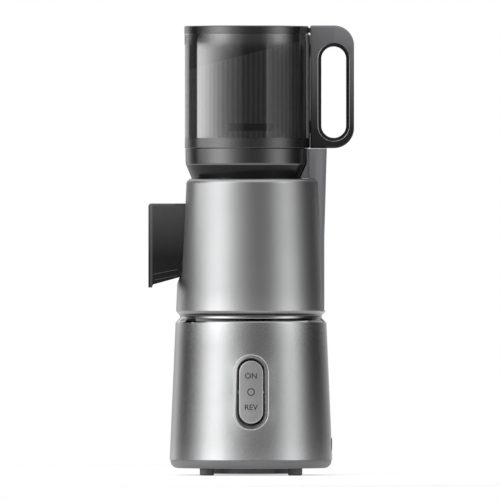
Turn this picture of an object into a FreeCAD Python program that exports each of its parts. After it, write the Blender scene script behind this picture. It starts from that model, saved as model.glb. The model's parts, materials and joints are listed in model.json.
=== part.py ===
# Cold press juicer: conical motor base, metal-look body sleeve with a rear spine,
# lift-out drum with a hooded spout, slow auger, and a wide lidded hopper with a side handle.
# Millimetres, +Z up, origin at the centre of the footprint on the table.
# The spout looks along -X, the handle is at +X and the rocker switch faces -Y.
import FreeCAD, Part
import Sketcher
import math
import os
import re

from FreeCAD import Vector, Rotation, Placement

doc = FreeCAD.newDocument("juicer")
sheet = doc.addObject("Spreadsheet::Sheet", "Size")

# Counts, which set how often a pattern repeats.
SUN_TEETH = 15
PLANET_TEETH = 30
RING_TEETH = 75
PLANETS = 3
VENTS = 12
FAN_BLADES = 9
STATOR_SLOTS = 12
SCREEN_SLOTS = 24
CAGE_BARS = 8
LINER_RIBS = 36
AUGER_STEPS = 20
AUGER_POINTS = 24
AUGER_TURNS = 1.6
SCREW_TURN = 22.5
BOARD_CORNERS = ((-0.36, 0.15), (0.36, 0.15), (-0.36, 0.85), (0.36, 0.85))

# Driving dimensions, each set here once. Clearances and walls have names of their own.
SIZES = {
    # conical body, as much wider than the drum as its walls and the air round it need
    "bowl_r": 55.0,
    "body_room": 27.0,
    "cone_slope": 0.0427,
    "shell_base_z": 15.5,
    "shell_tall": 136.5,
    "shell_wall": 2.6,
    "shell_lip": 3.0,
    "shell_lip_wide": 13.5,
    "groove_tall": 12.5,
    "groove_depth": 4.2,
    "groove_flat": 2.4,
    "groove_wide": 8.9,
    "sleeve_tall": 131.8,
    "sleeve_wall": 2.6,
    "sleeve_round": 5.0,
    "sleeve_flange": 2.8,
    "slot_gap": 1.0,
    "slot_drop": 18.0,
    # underside
    "foot_r": 7.2,
    "foot_tall": 7.0,
    "foot_round": 1.6,
    "foot_stem_r": 2.9,
    "foot_stem": 3.4,
    "foot_inset": 38.0,
    "plate_thick": 3.0,
    "plate_inset": 0.9,
    "plate_round": 7.0,
    "skirt_inset": 37.0,
    "skirt_wall": 2.5,
    "skirt_drop": 5.5,
    "vent_inner": 14.0,
    "vent_edge": 6.5,
    "vent_width": 3.4,
    "screw_inset": 14.0,
    "screw_r": 1.7,
    "screw_head_r": 3.4,
    "screw_head": 2.4,
    "screw_long": 24.0,
    "boss_r": 4.2,
    "boss_tall": 30.0,
    "gland_rise": 14.5,
    "gland_r": 7.0,
    "gland_bore_r": 3.6,
    "gland_flange_r": 9.5,
    "gland_deep": 13.0,
    # drive line, on an axis set forward of the cone's own
    "axis_shift": 4.0,
    "run_gap": 0.05,
    "seat_gap": 0.3,
    "shaft_r": 4.0,
    "shaft_rise": 2.0,
    "fan_r": 34.0,
    "fan_hub_r": 8.0,
    "fan_rise": 1.0,
    "fan_tall": 8.0,
    "fan_blade": 1.6,
    "can_r": 46.0,
    "can_rise": 3.0,
    "can_wall": 2.0,
    "can_end": 3.0,
    "can_tall": 60.0,
    "bearing_deep": 6.9,
    "bearing_tall": 7.0,
    "stator_in_r": 27.5,
    "stator_slot": 4.0,
    "coil_tall": 6.0,
    "coil_room": 3.0,
    "coil_inset": 3.0,
    "air_gap": 1.0,
    "rotor_room": 3.0,
    "mount_thick": 4.0,
    "gear_module": 0.9,
    "gear_wide": 15.0,
    "gear_thin": 0.13,
    "ring_rim": 2.5,
    "case_wall": 3.0,
    "case_floor": 4.0,
    "planet_pin_r": 4.0,
    "carrier_edge": 3.7,
    "carrier_thick": 5.0,
    "carrier_room": 3.0,
    "cover_edge": 2.2,
    "cover_thick": 5.0,
    "cover_neck_wall": 4.0,
    "cover_cap": 2.0,
    "output_r": 10.0,
    "output_bearing_deep": 6.0,
    "output_bearing_tall": 10.0,
    "hex_flat": 14.0,
    "hex_tall": 22.0,
    "hex_gap": 0.2,
    "deck_thick": 5.0,
    "seal_wide": 3.1,
    "post_room": 5.0,
    "post_r": 4.5,
    "post_screw_r": 2.0,
    "post_screw_head_r": 3.6,
    "post_screw_head": 3.0,
    # control board behind the motor
    "board_wide": 50.0,
    "board_tall": 52.0,
    "board_thick": 1.6,
    "board_inset": 26.0,
    "board_rise": 10.0,
    "spacer_r": 3.0,
    # rocker switch
    "switch_rise": 67.8,
    "bezel_wide": 34.0,
    "bezel_tall": 74.0,
    "bezel_thick": 6.0,
    "bezel_rim": 1.0,
    "bezel_land": 1.8,
    "dish_wide": 3.9,
    "rocker_gap": 1.0,
    "rocker_end_gap": 1.6,
    "rocker_thick": 5.5,
    "rocker_sink": 0.6,
    "rocker_round": 1.6,
    "pivot_deep": 10.4,
    "pivot_r": 1.5,
    "rocker_hub_inset": 2.1,
    "rocker_hub_tall": 13.0,
    "block_room": 4.0,
    "block_tall": 28.0,
    "block_ear": 2.2,
    "block_cavity": 9.0,
    "motor_room": 4.5,
    # rear spine
    "spine_half": 20.0,
    "spine_gap": 0.4,
    "spine_proud": 1.5,
    "spine_lean": 2.5,
    "spine_waist": 73.5,
    "spine_flat": 4.1,
    "spine_wall": 2.4,
    "reed_room": 1.3,
    "reed_deep": 8.0,
    "reed_tall": 6.0,
    # lift-out drum
    "bowl_wall": 3.0,
    "bowl_rise": 39.0,
    "bowl_floor": 3.0,
    "hub_room": 1.2,
    "hub_wall": 2.8,
    "hub_tall": 13.0,
    "mouth_gap": 1.2,
    "collar_foot_wide": 0.4,
    "collar_flare": 6.5,
    "collar_wide": 6.8,
    "collar_bevel": 15.0,
    "collar_tall": 30.0,
    "collar_step": 17.5,
    "collar_shelf": 3.0,
    "collar_seat": 2.6,
    "edge_break": 0.5,
    "shoulder_round": 2.0,
    "cage_gap": 2.0,
    "cage_thick": 4.0,
    "cage_ring": 6.0,
    "cage_bar": 4.0,
    "cage_drop": 4.5,
    "screen_gap": 0.2,
    "screen_wall": 1.0,
    "screen_slot": 1.2,
    "screen_slot_tall": 60.0,
    "auger_gap": 1.4,
    "auger_rise": 1.6,
    "auger_foot_r": 30.0,
    "auger_neck_r": 15.0,
    "auger_drop": 22.8,
    "socket_room": 4.5,
    "blade_hub_r": 12.5,
    "blade_rise": 13.4,
    "blade_tall": 7.0,
    "blade_half": 23.0,
    "blade_wide": 9.0,
    # spout
    "hood_reach": 20.6,
    "hood_half": 25.0,
    "hood_drop": 24.8,
    "hood_wall": 2.5,
    "hood_front_wall": 3.5,
    "hood_lip_drop": 11.5,
    "hood_lip": 2.9,
    "hood_rim_rise": 10.6,
    "hood_corner": 5.0,
    "hood_top_round": 3.0,
    "hood_gap": 0.9,
    "neck_inset": 6.0,
    "neck_corner": 16.0,
    "outlet_rise": 22.0,
    "outlet_mouth": 2.0,
    "outlet_inset": 14.6,
    "outlet_spread": 0.25,
    "juice_bore_r": 6.5,
    "juice_wall": 2.0,
    "pulp_bore_r": 7.6,
    "pulp_wall": 1.8,
    # hopper
    "hopper_over": 0.7,
    "hopper_wall": 3.0,
    "hopper_base_inset": 0.2,
    "hopper_base_tall": 10.0,
    "hopper_floor": 3.8,
    "hopper_floor_wide": 7.5,
    "spigot_gap": 0.4,
    "spigot_wall": 3.7,
    "spigot_tall": 8.8,
    "gasket_tall": 3.4,
    "tube_tall": 103.8,
    "liner_wall": 1.4,
    "liner_gap": 0.3,
    "liner_slant": 32.0,
    "rib_deep": 1.0,
    "rib_wide": 1.4,
    # lid
    "lid_over": 0.2,
    "lid_tall": 8.0,
    "lid_plate": 3.0,
    "lid_round": 1.2,
    "lid_plug_gap": 0.6,
    "lid_plug_wall": 2.4,
    "lid_plug_tall": 4.5,
    "hinge_inset": 5.4,
    "hinge_rise": 3.7,
    "hinge_pin_r": 1.5,
    "knuckle_r": 3.6,
    "knuckle_room": 2.4,
    "tongue_half": 6.2,
    "tongue_thick": 5.0,
    "lid_notch": 1.8,
    # handle
    "handle_gap": 0.7,
    "handle_deep": 43.8,
    "handle_over": 0.6,
    "handle_half": 12.0,
    "handle_corner": 20.0,
    "handle_edge": 1.8,
    "grip_inset_x": 23.5,
    "grip_lower": 5.35,
    "grip_wide": 31.8,
    "grip_ends": 24.3,
    "liner_fit": 0.25,
    "grip_wall": 3.5,
    "grip_inset": 0.8,
    "grip_chamfer": 2.0,
    "tenon_half": 5.0,
    "tenon_tall": 12.0,
    "tenon_rise": 15.2,
    "tenon_drop": 21.9,
    "magnet_r": 4.0,
    "magnet_tall": 4.0,
    "magnet_inset": 6.8,
}

# Sizes and places that follow from those above
DERIVED = {
    "cone_foot_r": "bowl_r + body_room",
    "shell_top_z": "shell_base_z + shell_tall",
    "shell_top_r": "cone_foot_r - cone_slope * shell_top_z",
    "shell_lip_r": "shell_top_r - shell_lip_wide",
    "groove_inner_r": "shell_top_r - groove_wide",
    "sleeve_z": "shell_top_z + groove_tall",
    "sleeve_top": "sleeve_z + sleeve_tall",
    "deck_top": "shell_top_z + deck_thick",
    "foot_offset": "cone_foot_r - foot_inset",
    "skirt_r": "cone_foot_r - skirt_inset",
    "vent_outer": "skirt_r - skirt_wall - vent_edge",
    "screw_circle_r": "cone_foot_r - screw_inset",
    "boss_top_z": "foot_tall + plate_thick + boss_tall",
    "gland_z": "shell_base_z + gland_rise",
    "shaft_foot_z": "foot_tall + plate_thick + shaft_rise",
    "fan_z": "shaft_foot_z + fan_rise",
    "can_foot_z": "fan_z + fan_tall + can_rise",
    "can_top": "can_foot_z + can_tall",
    "can_middle": "can_foot_z + can_tall / 2",
    "bearing_r": "shaft_r + bearing_deep",
    "coil_out_r": "can_r - can_wall - coil_inset",
    "coil_in_r": "stator_in_r + 2.5",
    "stator_tall": "can_tall - 2 * (can_end + coil_tall + coil_room)",
    "rotor_r": "stator_in_r - air_gap",
    "rotor_tall": "can_tall - 2 * (bearing_tall + rotor_room)",
    "case_z": "can_top + mount_thick",
    "gear_z": "case_z + case_floor",
    "ring_tall": "gear_wide + 3",
    "gear_pitch_r": f"gear_module * {(SUN_TEETH + PLANET_TEETH) / 2}",
    "ring_rim_r": f"gear_module * ({RING_TEETH / 2} + 1.1) + ring_rim",
    "case_r": "ring_rim_r + case_wall",
    "carrier_z": "gear_z + ring_tall + 1",
    "carrier_r": "gear_pitch_r + planet_pin_r + carrier_edge",
    "case_tall": "case_floor + ring_tall + carrier_thick + carrier_room",
    "cover_z": "case_z + case_tall",
    "post_circle_r": "case_r + post_room",
    "post_screw_long": "(shell_top_z - cover_z) / 2 + 3",
    "cover_r": "post_circle_r + post_screw_head_r + cover_edge",
    "output_bearing_r": "output_r + output_bearing_deep",
    "cover_neck_r": "output_bearing_r + cover_neck_wall",
    "seal_r": "output_r + seal_wide",
    "board_y": "cone_foot_r - board_inset",
    "board_z": "can_foot_z + board_rise",
    "switch_z": "shell_base_z + switch_rise",
    "switch_r": "cone_foot_r - cone_slope * switch_z",
    "window_wide": "bezel_wide - 2 * dish_wide",
    "window_tall": "bezel_tall - 2 * dish_wide",
    "rocker_wide": "window_wide - 2 * rocker_gap",
    "rocker_tall": "window_tall - 2 * rocker_end_gap",
    "pivot_y": "switch_r - pivot_deep",
    "rocker_hub_wide": "rocker_wide - 2 * rocker_hub_inset",
    "rocker_hub_y": "switch_r - rocker_sink - rocker_thick / 2",
    "block_wide": "window_wide + 2 * block_ear + 0.4",
    "block_front_y": "switch_r - bezel_thick - block_room",
    "block_back_y": "can_r + motor_room",
    "bowl_floor_z": "deck_top + bowl_rise",
    "bowl_top_z": "bowl_floor_z + bowl_floor",
    "hub_in_r": "output_r + hub_room",
    "bowl_hub_r": "hub_in_r + hub_wall",
    "bowl_hub_top_z": "bowl_top_z + hub_tall",
    "hex_top_z": "bowl_hub_top_z + hex_tall",
    "collar_z": "sleeve_top + 0.2",
    "collar_top": "collar_z + collar_tall",
    "collar_foot_r": "bowl_r + collar_foot_wide",
    "collar_shoulder_r": "bowl_r + collar_flare",
    "collar_r": "bowl_r + collar_wide",
    "collar_seat_r": "bowl_r + collar_seat",
    "cage_r": "bowl_r - bowl_wall - cage_gap",
    "screen_r": "cage_r - cage_thick - screen_gap",
    "auger_flight_r": "screen_r - screen_wall - auger_gap",
    "auger_foot_z": "bowl_top_z + auger_rise",
    "auger_top_z": "hopper_z - auger_drop",
    "socket_tall": "hex_tall + socket_room",
    "blade_foot_z": "hopper_z + hopper_floor + blade_rise",
    "hopper_z": "collar_top + seat_gap",
    "tube_z": "hopper_z + hopper_base_tall",
    "tube_top": "tube_z + tube_tall",
    "lid_z": "tube_top + seat_gap",
    "lid_top": "lid_z + lid_tall",
    "spine_front_x": "collar_r - axis_shift + spine_gap",
    "spine_waist_z": "sleeve_z + spine_waist",
    "spine_waist_x": "cone_foot_r - cone_slope * spine_waist_z + spine_proud",
    "spine_rear_x": "spine_waist_x + spine_lean",
    "spine_corner": "spine_waist_x - spine_front_x - spine_flat",
    "spine_top_z": "hopper_z - spine_gap",
    "reed_wide": "spine_waist_x - spine_front_x - 2 * spine_wall - reed_room",
    "neck_half": "hood_half",
    "neck_foot_z": "bowl_top_z",
    "neck_start_x": "cone_foot_r - neck_inset",
    "slot_half": "hood_half + slot_gap",
    "slot_centre_z": "neck_foot_z + slot_drop",
    "hood_front_x": "cone_foot_r + hood_reach",
    "hood_back_x": "bowl_r + 5",
    "hood_top_z": "sleeve_top - hood_drop",
    "hood_lip_z": "neck_foot_z - hood_lip_drop",
    "hood_rim_front_z": "hood_lip_z + hood_lip",
    "hood_rim_back_z": "hood_rim_front_z + hood_rim_rise",
    "outlet_z": "bowl_top_z + outlet_rise",
    "outlet_mouth_z": "neck_foot_z + outlet_mouth",
    "outlet_x": "hood_front_x - outlet_inset",
    "outlet_y": "(hood_half - hood_wall) / 2 + outlet_spread",
    "hopper_r": "collar_r + hopper_over",
    "hopper_base_r": "hopper_r - hopper_base_inset",
    "spigot_out_r": "collar_seat_r - spigot_gap",
    "spigot_in_r": "spigot_out_r - spigot_wall",
    "hopper_floor_r": "spigot_in_r - hopper_floor_wide",
    "lid_r": "hopper_r + lid_over",
    "lid_plug_r": "hopper_r - hopper_wall - lid_plug_gap",
    "liner_high_z": "lid_z - lid_plug_tall - seat_gap",
    "liner_low_z": "liner_high_z - liner_slant",
    "handle_front_x": "hopper_r - axis_shift + handle_gap",
    "handle_rear_x": "handle_front_x + handle_deep",
    "handle_top_z": "lid_top + handle_over",
    "hinge_x": "handle_front_x + hinge_inset",
    "hinge_z": "lid_z + hinge_rise",
    "hinge_slot_x": "hinge_x + knuckle_r + knuckle_room",
    "hinge_slot_z": "hinge_z - knuckle_r - knuckle_room",
    "grip_x": "handle_front_x + grip_inset_x",
    "grip_z": "(hopper_z + handle_top_z) / 2 - grip_lower",
    "grip_tall": "handle_top_z - hopper_z - grip_ends",
    "finger_wide": "grip_wide - 2 * grip_wall",
    "finger_tall": "grip_tall - 2 * grip_wall",
    "tenon_low_z": "hopper_z + tenon_rise",
    "tenon_high_z": "lid_z - tenon_drop",
    "magnet_x": "handle_front_x + magnet_inset",
}

for row, (alias, value) in enumerate(SIZES.items(), start=1):
    sheet.set(f"A{row}", alias)
    sheet.set(f"B{row}", str(value))
    sheet.setAlias(f"B{row}", alias)
doc.recompute()

NODES = []
ORIGIN = Vector(0, 0, 0)


def size(name):
    """A driving or derived dimension, worked out from the sheet."""
    return value(name)


def sized(text):
    """An expression with each size written as a reference to the sheet."""

    def written_out(found):
        word = found[0]
        if word in SIZES:
            return "Size." + word
        if word in DERIVED:
            return "(" + sized(DERIVED[word]) + ")"
        return word

    return re.sub(r"[a-z][a-z_0-9]*", written_out, text)


def value(text):
    """The number that an expression of aliases gives now."""
    probe = doc.getObject("Probe") or doc.addObject("App::FeaturePython", "Probe")
    if "Number" not in probe.PropertiesList:
        probe.addProperty("App::PropertyFloat", "Number")
    probe.setExpression("Number", sized(text))
    probe.recompute()
    return probe.Number


def around(angle, radius, shift="0"):
    """Expressions for the place at an angle in degrees on a circle about x = -shift."""
    turn = math.radians(angle)
    return f"{math.cos(turn):.6f} * ({radius}) - {shift}", f"{math.sin(turn):.6f} * ({radius})"


def bind(thing, **properties):
    """Binds properties to expressions. Underscores in a name stand for dots."""
    for name, text in properties.items():
        thing.setExpression(name.replace("_", "."), sized(str(text)))
    return thing


def place(thing, x=0, y=0, z=0):
    """Binds a position, leaving the rotation as it is."""
    for axis, text in (("x", x), ("y", y), ("z", z)):
        thing.setExpression("Placement.Base." + axis, sized(str(text)))
    return thing


TURNS = {
    "x": Rotation(Vector(0, 1, 0), 90),
    "y": Rotation(Vector(1, 0, 0), -90),
    "z": Rotation(),
}


def cylinder(name, radius, height, x=0, y=0, z=0, along="z"):
    made = doc.addObject("Part::Cylinder", name)
    made.Placement = Placement(ORIGIN, TURNS[along])
    bind(made, Radius=radius, Height=height)
    return place(made, x, y, z)


def cone(name, low_r, high_r, height, z=0):
    made = doc.addObject("Part::Cone", name)
    bind(made, Radius1=low_r, Radius2=high_r, Height=height)
    return place(made, z=z)


def box(name, length, width, height, x=0, y=0, z=0):
    """A box whose lowest corner is at x, y, z."""
    made = doc.addObject("Part::Box", name)
    bind(made, Length=length, Width=width, Height=height)
    return place(made, x, y, z)


def sphere(name, radius, x, y, z):
    made = doc.addObject("Part::Sphere", name)
    bind(made, Radius=radius)
    return place(made, x, y, z)


def fuse(name, *shapes):
    made = doc.addObject("Part::MultiFuse", name)
    made.Shapes = list(shapes)
    return made


def common(name, *shapes):
    made = doc.addObject("Part::MultiCommon", name)
    made.Shapes = list(shapes)
    return made


def cut(name, base, *tools):
    """Base less each tool. Several tools are first joined."""
    made = doc.addObject("Part::Cut", name)
    made.Base = base
    made.Tool = tools[0] if len(tools) == 1 else fuse(name + "_tools", *tools)
    return made


def group(name, *shapes):
    made = doc.addObject("Part::Compound", name)
    made.Links = list(shapes)
    return made


def feature(name, shape):
    """A shape that is worked out from the sheet in code."""
    made = doc.addObject("Part::Feature", name)
    made.Shape = shape
    return made


def node(made, label):
    """Marks an object as a finished piece and names its file."""
    made.Label = label
    NODES.append(made)
    return made


def body_sketch(body, name, plane_role):
    sketch = body.newObject("Sketcher::SketchObject", name)
    plane = [f for f in body.Origin.OriginFeatures if f.Role == plane_role][0]
    sketch.AttachmentSupport = [(plane, "")]
    sketch.MapMode = "FlatFace"
    return sketch


def dimension(sketch, kind, geometry, point, text, label):
    """One coordinate of a sketch point, bound to an expression."""
    amount = value(text)
    if abs(amount) < 1e-9:
        axis = -2 if kind == "DistanceX" else -1
        sketch.addConstraint(Sketcher.Constraint("PointOnObject", geometry, point, axis))
        return
    number = sketch.addConstraint(Sketcher.Constraint(kind, -1, 1, geometry, point, amount))
    sketch.renameConstraint(number, label)
    sketch.setExpression("Constraints." + label, sized(text))


def outline(sketch, points):
    """A closed outline of straight lines through points given as expressions."""
    corners = [Vector(value(x), value(y), 0) for x, y in points]
    lines = []
    for start, end in zip(corners, corners[1:] + corners[:1]):
        lines.append(sketch.addGeometry(Part.LineSegment(start, end), False))
    for line, following in zip(lines, lines[1:] + lines[:1]):
        sketch.addConstraint(Sketcher.Constraint("Coincident", line, 2, following, 1))
    for number, (line, (x, y)) in enumerate(zip(lines, points)):
        dimension(sketch, "DistanceX", line, 1, x, f"across{number}")
        dimension(sketch, "DistanceY", line, 1, y, f"up{number}")


def turned(name, points, shift="0", rounds=()):
    """A body turned about a vertical axis at -shift. Points are radius and height;
    rounds are (radius of edge, height of edge, rounding)."""
    body = doc.addObject("PartDesign::Body", name)
    sketch = body_sketch(body, name + "_outline", "XZ_Plane")
    outline(sketch, [(str(r), str(z)) for r, z in points])
    revolution = body.newObject("PartDesign::Revolution", name + "_turned")
    revolution.Profile = sketch
    revolution.ReferenceAxis = (sketch, ["V_Axis"])
    revolution.Angle = 360
    doc.recompute()
    last = revolution
    for number, (edge_r, edge_z, rounding) in enumerate(rounds):
        fillet = body.newObject("PartDesign::Fillet", f"{name}_round{number}")
        fillet.Base = (last, ring_edges(last.Shape, value(edge_r), value(edge_z)))
        bind(fillet, Radius=rounding)
        doc.recompute()
        last = fillet
    if shift != "0":
        place(body, x="-" + shift)
    return body


def ring_edges(shape, radius, height):
    """Names of the round edges of that radius at that height."""
    found = []
    for number, edge in enumerate(shape.Edges, start=1):
        curve = edge.Curve
        if isinstance(curve, Part.Circle):
            level = abs(curve.Center.z - height) < 0.01
            if level and abs(curve.Radius - radius) < 0.01:
                found.append(f"Edge{number}")
    if not found:
        raise ValueError(f"no round edge of radius {radius} at {height}")
    return found


def rounded(name, base, radius, chosen):
    """Rounds the edges for which chosen(edge) is true."""
    doc.recompute()
    made = doc.addObject("Part::Fillet", name)
    made.Base = base
    amount = value(radius)
    edges = [n for n, e in enumerate(base.Shape.Edges, start=1) if chosen(e)]
    made.Edges = [(n, amount, amount) for n in edges]
    return made


def upright(edge):
    """True for a straight vertical edge."""
    first, last = edge.Vertexes[0].Point, edge.Vertexes[-1].Point
    flat = math.hypot(first.x - last.x, first.y - last.y)
    return len(edge.Vertexes) == 2 and flat < 1e-6 and abs(first.z - last.z) > 1e-6


def stadium(name, wide, tall, front, deep, centre_x="0", centre_z="0"):
    """A prism whose outline in XZ is a slot with round ends. It runs from y = front
    for deep millimetres along +Y."""
    body = doc.addObject("PartDesign::Body", name)
    sketch = body_sketch(body, name + "_slot", "XZ_Plane")
    half = value(f"({wide}) / 2")
    reach = value(f"({tall}) / 2") - half
    right = sketch.addGeometry(Part.LineSegment(Vector(half, -reach, 0), Vector(half, reach, 0)))
    upper = Part.Circle(Vector(0, reach, 0), Vector(0, 0, 1), half)
    top = sketch.addGeometry(Part.ArcOfCircle(upper, 0, math.pi))
    left = sketch.addGeometry(Part.LineSegment(Vector(-half, reach, 0), Vector(-half, -reach, 0)))
    lower = Part.Circle(Vector(0, -reach, 0), Vector(0, 0, 1), half)
    bottom = sketch.addGeometry(Part.ArcOfCircle(lower, math.pi, 2 * math.pi))
    loop = [right, top, left, bottom]
    for piece, following in zip(loop, loop[1:] + loop[:1]):
        sketch.addConstraint(Sketcher.Constraint("Tangent", piece, 2, following, 1))
    sketch.addConstraint(Sketcher.Constraint("Equal", top, bottom))
    sketch.addConstraint(Sketcher.Constraint("PointOnObject", top, 3, -2))
    sketch.addConstraint(Sketcher.Constraint("Symmetric", top, 3, bottom, 3, -1, 1))
    number = sketch.addConstraint(Sketcher.Constraint("Radius", top, half))
    sketch.renameConstraint(number, "end")
    sketch.setExpression("Constraints.end", sized(f"({wide}) / 2"))
    number = sketch.addConstraint(Sketcher.Constraint("DistanceY", bottom, 3, top, 3, 2 * reach))
    sketch.renameConstraint(number, "straight")
    sketch.setExpression("Constraints.straight", sized(f"({tall}) - ({wide})"))
    pad = body.newObject("PartDesign::Pad", name + "_pad")
    pad.Profile = sketch
    bind(pad, Length=deep)
    doc.recompute()
    return place(body, centre_x, f"{front} + ({deep})", centre_z)


def prism(name, points, half):
    """A prism whose outline in XZ has corners given as expressions, from y = -half to half."""
    body = doc.addObject("PartDesign::Body", name)
    sketch = body_sketch(body, name + "_side", "XZ_Plane")
    outline(sketch, [(str(x), str(z)) for x, z in points])
    pad = body.newObject("PartDesign::Pad", name + "_pad")
    pad.Profile = sketch
    bind(pad, Length=f"2 * ({half})")
    doc.recompute()
    return place(body, y=half)


def crosswise(edge, x, z):
    """True for a straight edge along Y through the place x, z."""
    return all(math.hypot(v.X - x, v.Z - z) < 0.01 for v in edge.Vertexes)


def polar(count):
    """The angles, in degrees, of an evenly spaced pattern."""
    return [360.0 * n / count for n in range(count)]


def turned_copies(shape, count, start=0.0, centre=ORIGIN):
    copies = []
    for angle in polar(count):
        copy = shape.copy()
        copy.rotate(centre, Vector(0, 0, 1), angle + start)
        copies.append(copy)
    return copies


def wall_r(z, inside="0"):
    """Expression for the cone's radius at height z, less a wall."""
    return f"(cone_foot_r - cone_slope * ({z}) - ({inside}))"


def cone_ring(name, z_low, z_high, outer_inset, inner_inset):
    """A slice of the conical wall between two insets from its surface."""
    outer = cone(
        name + "_outer", wall_r(z_low, outer_inset), wall_r(z_high, outer_inset),
        f"{z_high} - ({z_low})", z_low,
    )
    inner = cone(
        name + "_inner", wall_r(z_low, inner_inset), wall_r(z_high, inner_inset),
        f"{z_high} - ({z_low})", z_low,
    )
    return cut(name, outer, inner)


def motor_base():
    shell = turned("shell_cone", [
        (wall_r("shell_base_z"), "shell_base_z"),
        (wall_r("shell_top_z"), "shell_top_z"),
        ("shell_lip_r", "shell_top_z"),
        ("shell_lip_r", "shell_top_z - shell_lip"),
        (wall_r("shell_top_z - shell_lip", "shell_wall"), "shell_top_z - shell_lip"),
        (wall_r("shell_base_z", "shell_wall"), "shell_base_z"),
    ])
    bosses = []
    pilots = []
    for number, angle in enumerate(polar(4)):
        angle += SCREW_TURN
        across, along = around(angle, "screw_circle_r")
        foot = "foot_tall + plate_thick + 0.2"
        bosses.append(cylinder(
            f"boss{number}", "boss_r", f"boss_top_z - ({foot})", across, along, foot))
        rib = box(f"boss_rib{number}", f"{wall_r('boss_top_z')} - shell_wall / 2 - screw_circle_r",
                  "2.4", "boss_top_z - shell_base_z - 0.5")
        rib.Placement = Placement(ORIGIN, Rotation(Vector(0, 0, 1), angle))
        side = around(angle - 90, "1.2")
        place(rib, f"{across} + {side[0]}", f"{along} + {side[1]}", "shell_base_z + 0.5")
        bosses.append(rib)
        pilots.append(cylinder(f"pilot{number}", "screw_r", "screw_long + 2", across, along, "foot_tall"))
    switch_hole = stadium("switch_hole", "bezel_wide", "bezel_tall", "-cone_foot_r - 2", "34",
                          centre_z="switch_z")
    gland_hole = cylinder("gland_hole", "gland_r + 0.1", "30", "cone_foot_r - 20", 0, "gland_z", "x")
    for number, (side, level) in enumerate(BOARD_CORNERS):
        post_z = f"board_z + board_tall * {level}"
        post_x = f"board_wide * {side}"
        back = "board_y + board_thick"
        wall = wall_r(post_z, "shell_wall / 2")
        long = f"sqrt({wall} ^ 2 - ({post_x}) ^ 2) - ({back})"
        bosses.append(cylinder(f"spacer{number}", "spacer_r", long, post_x, back, post_z, "y"))
    body = fuse("shell_with_bosses", shell, *bosses)
    node(cut("shell", body, switch_hole, gland_hole, *pilots), "base_shell")

    screws = []
    for number, angle in enumerate(polar(4)):
        across, along = around(angle + SCREW_TURN, "screw_circle_r")
        head = cylinder(f"screw_head{number}", "screw_head_r", "screw_head", across, along, "foot_tall")
        shank = cylinder(f"screw_shank{number}", "screw_r", "screw_long", across, along, "foot_tall")
        screws.append(fuse(f"screw{number}", head, shank))
    node(group("screws", *screws), "base_screws")

    plate = turned("plate_turned", [
        ("0", "foot_tall"),
        (wall_r("shell_base_z", "plate_inset"), "foot_tall"),
        (wall_r("shell_base_z", "plate_inset"), "shell_base_z - 0.1"),
        (wall_r("shell_base_z", "plate_inset + plate_thick + 1"), "shell_base_z - 0.1"),
        (wall_r("shell_base_z", "plate_inset + plate_thick + 1"), "foot_tall + plate_thick"),
        ("0", "foot_tall + plate_thick"),
    ], rounds=[(wall_r("shell_base_z", "plate_inset"), "foot_tall", "plate_round")])
    skirt_outer = cylinder("skirt_outer", "skirt_r", "skirt_drop", z="foot_tall - skirt_drop")
    skirt_inner = cylinder("skirt_inner", "skirt_r - skirt_wall", "skirt_drop", z="foot_tall - skirt_drop")
    skirt = cut("skirt", skirt_outer, skirt_inner)
    openings = []
    for number, angle in enumerate(polar(VENTS)):
        vent = box(f"vent{number}", "vent_outer - vent_inner", "vent_width", "plate_thick + 2")
        vent.Placement = Placement(ORIGIN, Rotation(Vector(0, 0, 1), angle))
        start = around(angle, "vent_inner")
        side = around(angle - 90, "vent_width / 2")
        place(vent, f"{start[0]} + {side[0]}", f"{start[1]} + {side[1]}", "foot_tall - 1")
        openings.append(vent)
    for number, angle in enumerate(polar(4)):
        across, along = around(angle + SCREW_TURN, "screw_circle_r")
        openings.append(cylinder(
            f"screw_way{number}", "screw_r + 0.15", "plate_thick + 2", across, along, "foot_tall - 1"))
        openings.append(cylinder(
            f"screw_sink{number}", "screw_head_r + 0.15", "screw_head + 1", across, along, "foot_tall - 1"))
    for number, (side_x, side_y) in enumerate(((1, 1), (-1, 1), (-1, -1), (1, -1))):
        across, along = f"{side_x} * foot_offset", f"{side_y} * foot_offset"
        openings.append(cylinder(
            f"foot_way{number}", "foot_stem_r + 0.05", "plate_thick + 2", across, along, "foot_tall - 1"))
        foot = turned(f"foot_turned{number}", [
            ("0", "0"),
            ("foot_r", "0"),
            ("foot_r", "foot_tall"),
            ("foot_stem_r", "foot_tall"),
            ("foot_stem_r", "foot_tall + foot_stem"),
            ("0", "foot_tall + foot_stem"),
        ], rounds=[("foot_r", "0", "foot_round")])
        node(place(foot, across, along), f"foot_{number + 1}")
    node(cut("plate", fuse("plate_with_skirt", plate, skirt), *openings), "base_plate")

    groove_mid = "(shell_top_z + groove_tall / 2)"
    node(turned("groove_ring", [
        ("groove_inner_r", "shell_top_z"),
        (wall_r("shell_top_z", "0.2"), "shell_top_z"),
        (wall_r("shell_top_z", "0.4"), "shell_top_z + 0.8"),
        (wall_r(groove_mid, "groove_depth"), f"{groove_mid} - groove_flat / 2"),
        (wall_r(groove_mid, "groove_depth"), f"{groove_mid} + groove_flat / 2"),
        (wall_r("sleeve_z", "0.4"), "sleeve_z - 0.8"),
        (wall_r("sleeve_z", "0.2"), "sleeve_z"),
        ("groove_inner_r", "sleeve_z"),
    ], rounds=[(wall_r(groove_mid, "groove_depth"), f"{groove_mid} - groove_flat / 2", "1"),
               (wall_r(groove_mid, "groove_depth"), f"{groove_mid} + groove_flat / 2", "1")]),
         "chrome_ring")

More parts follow.
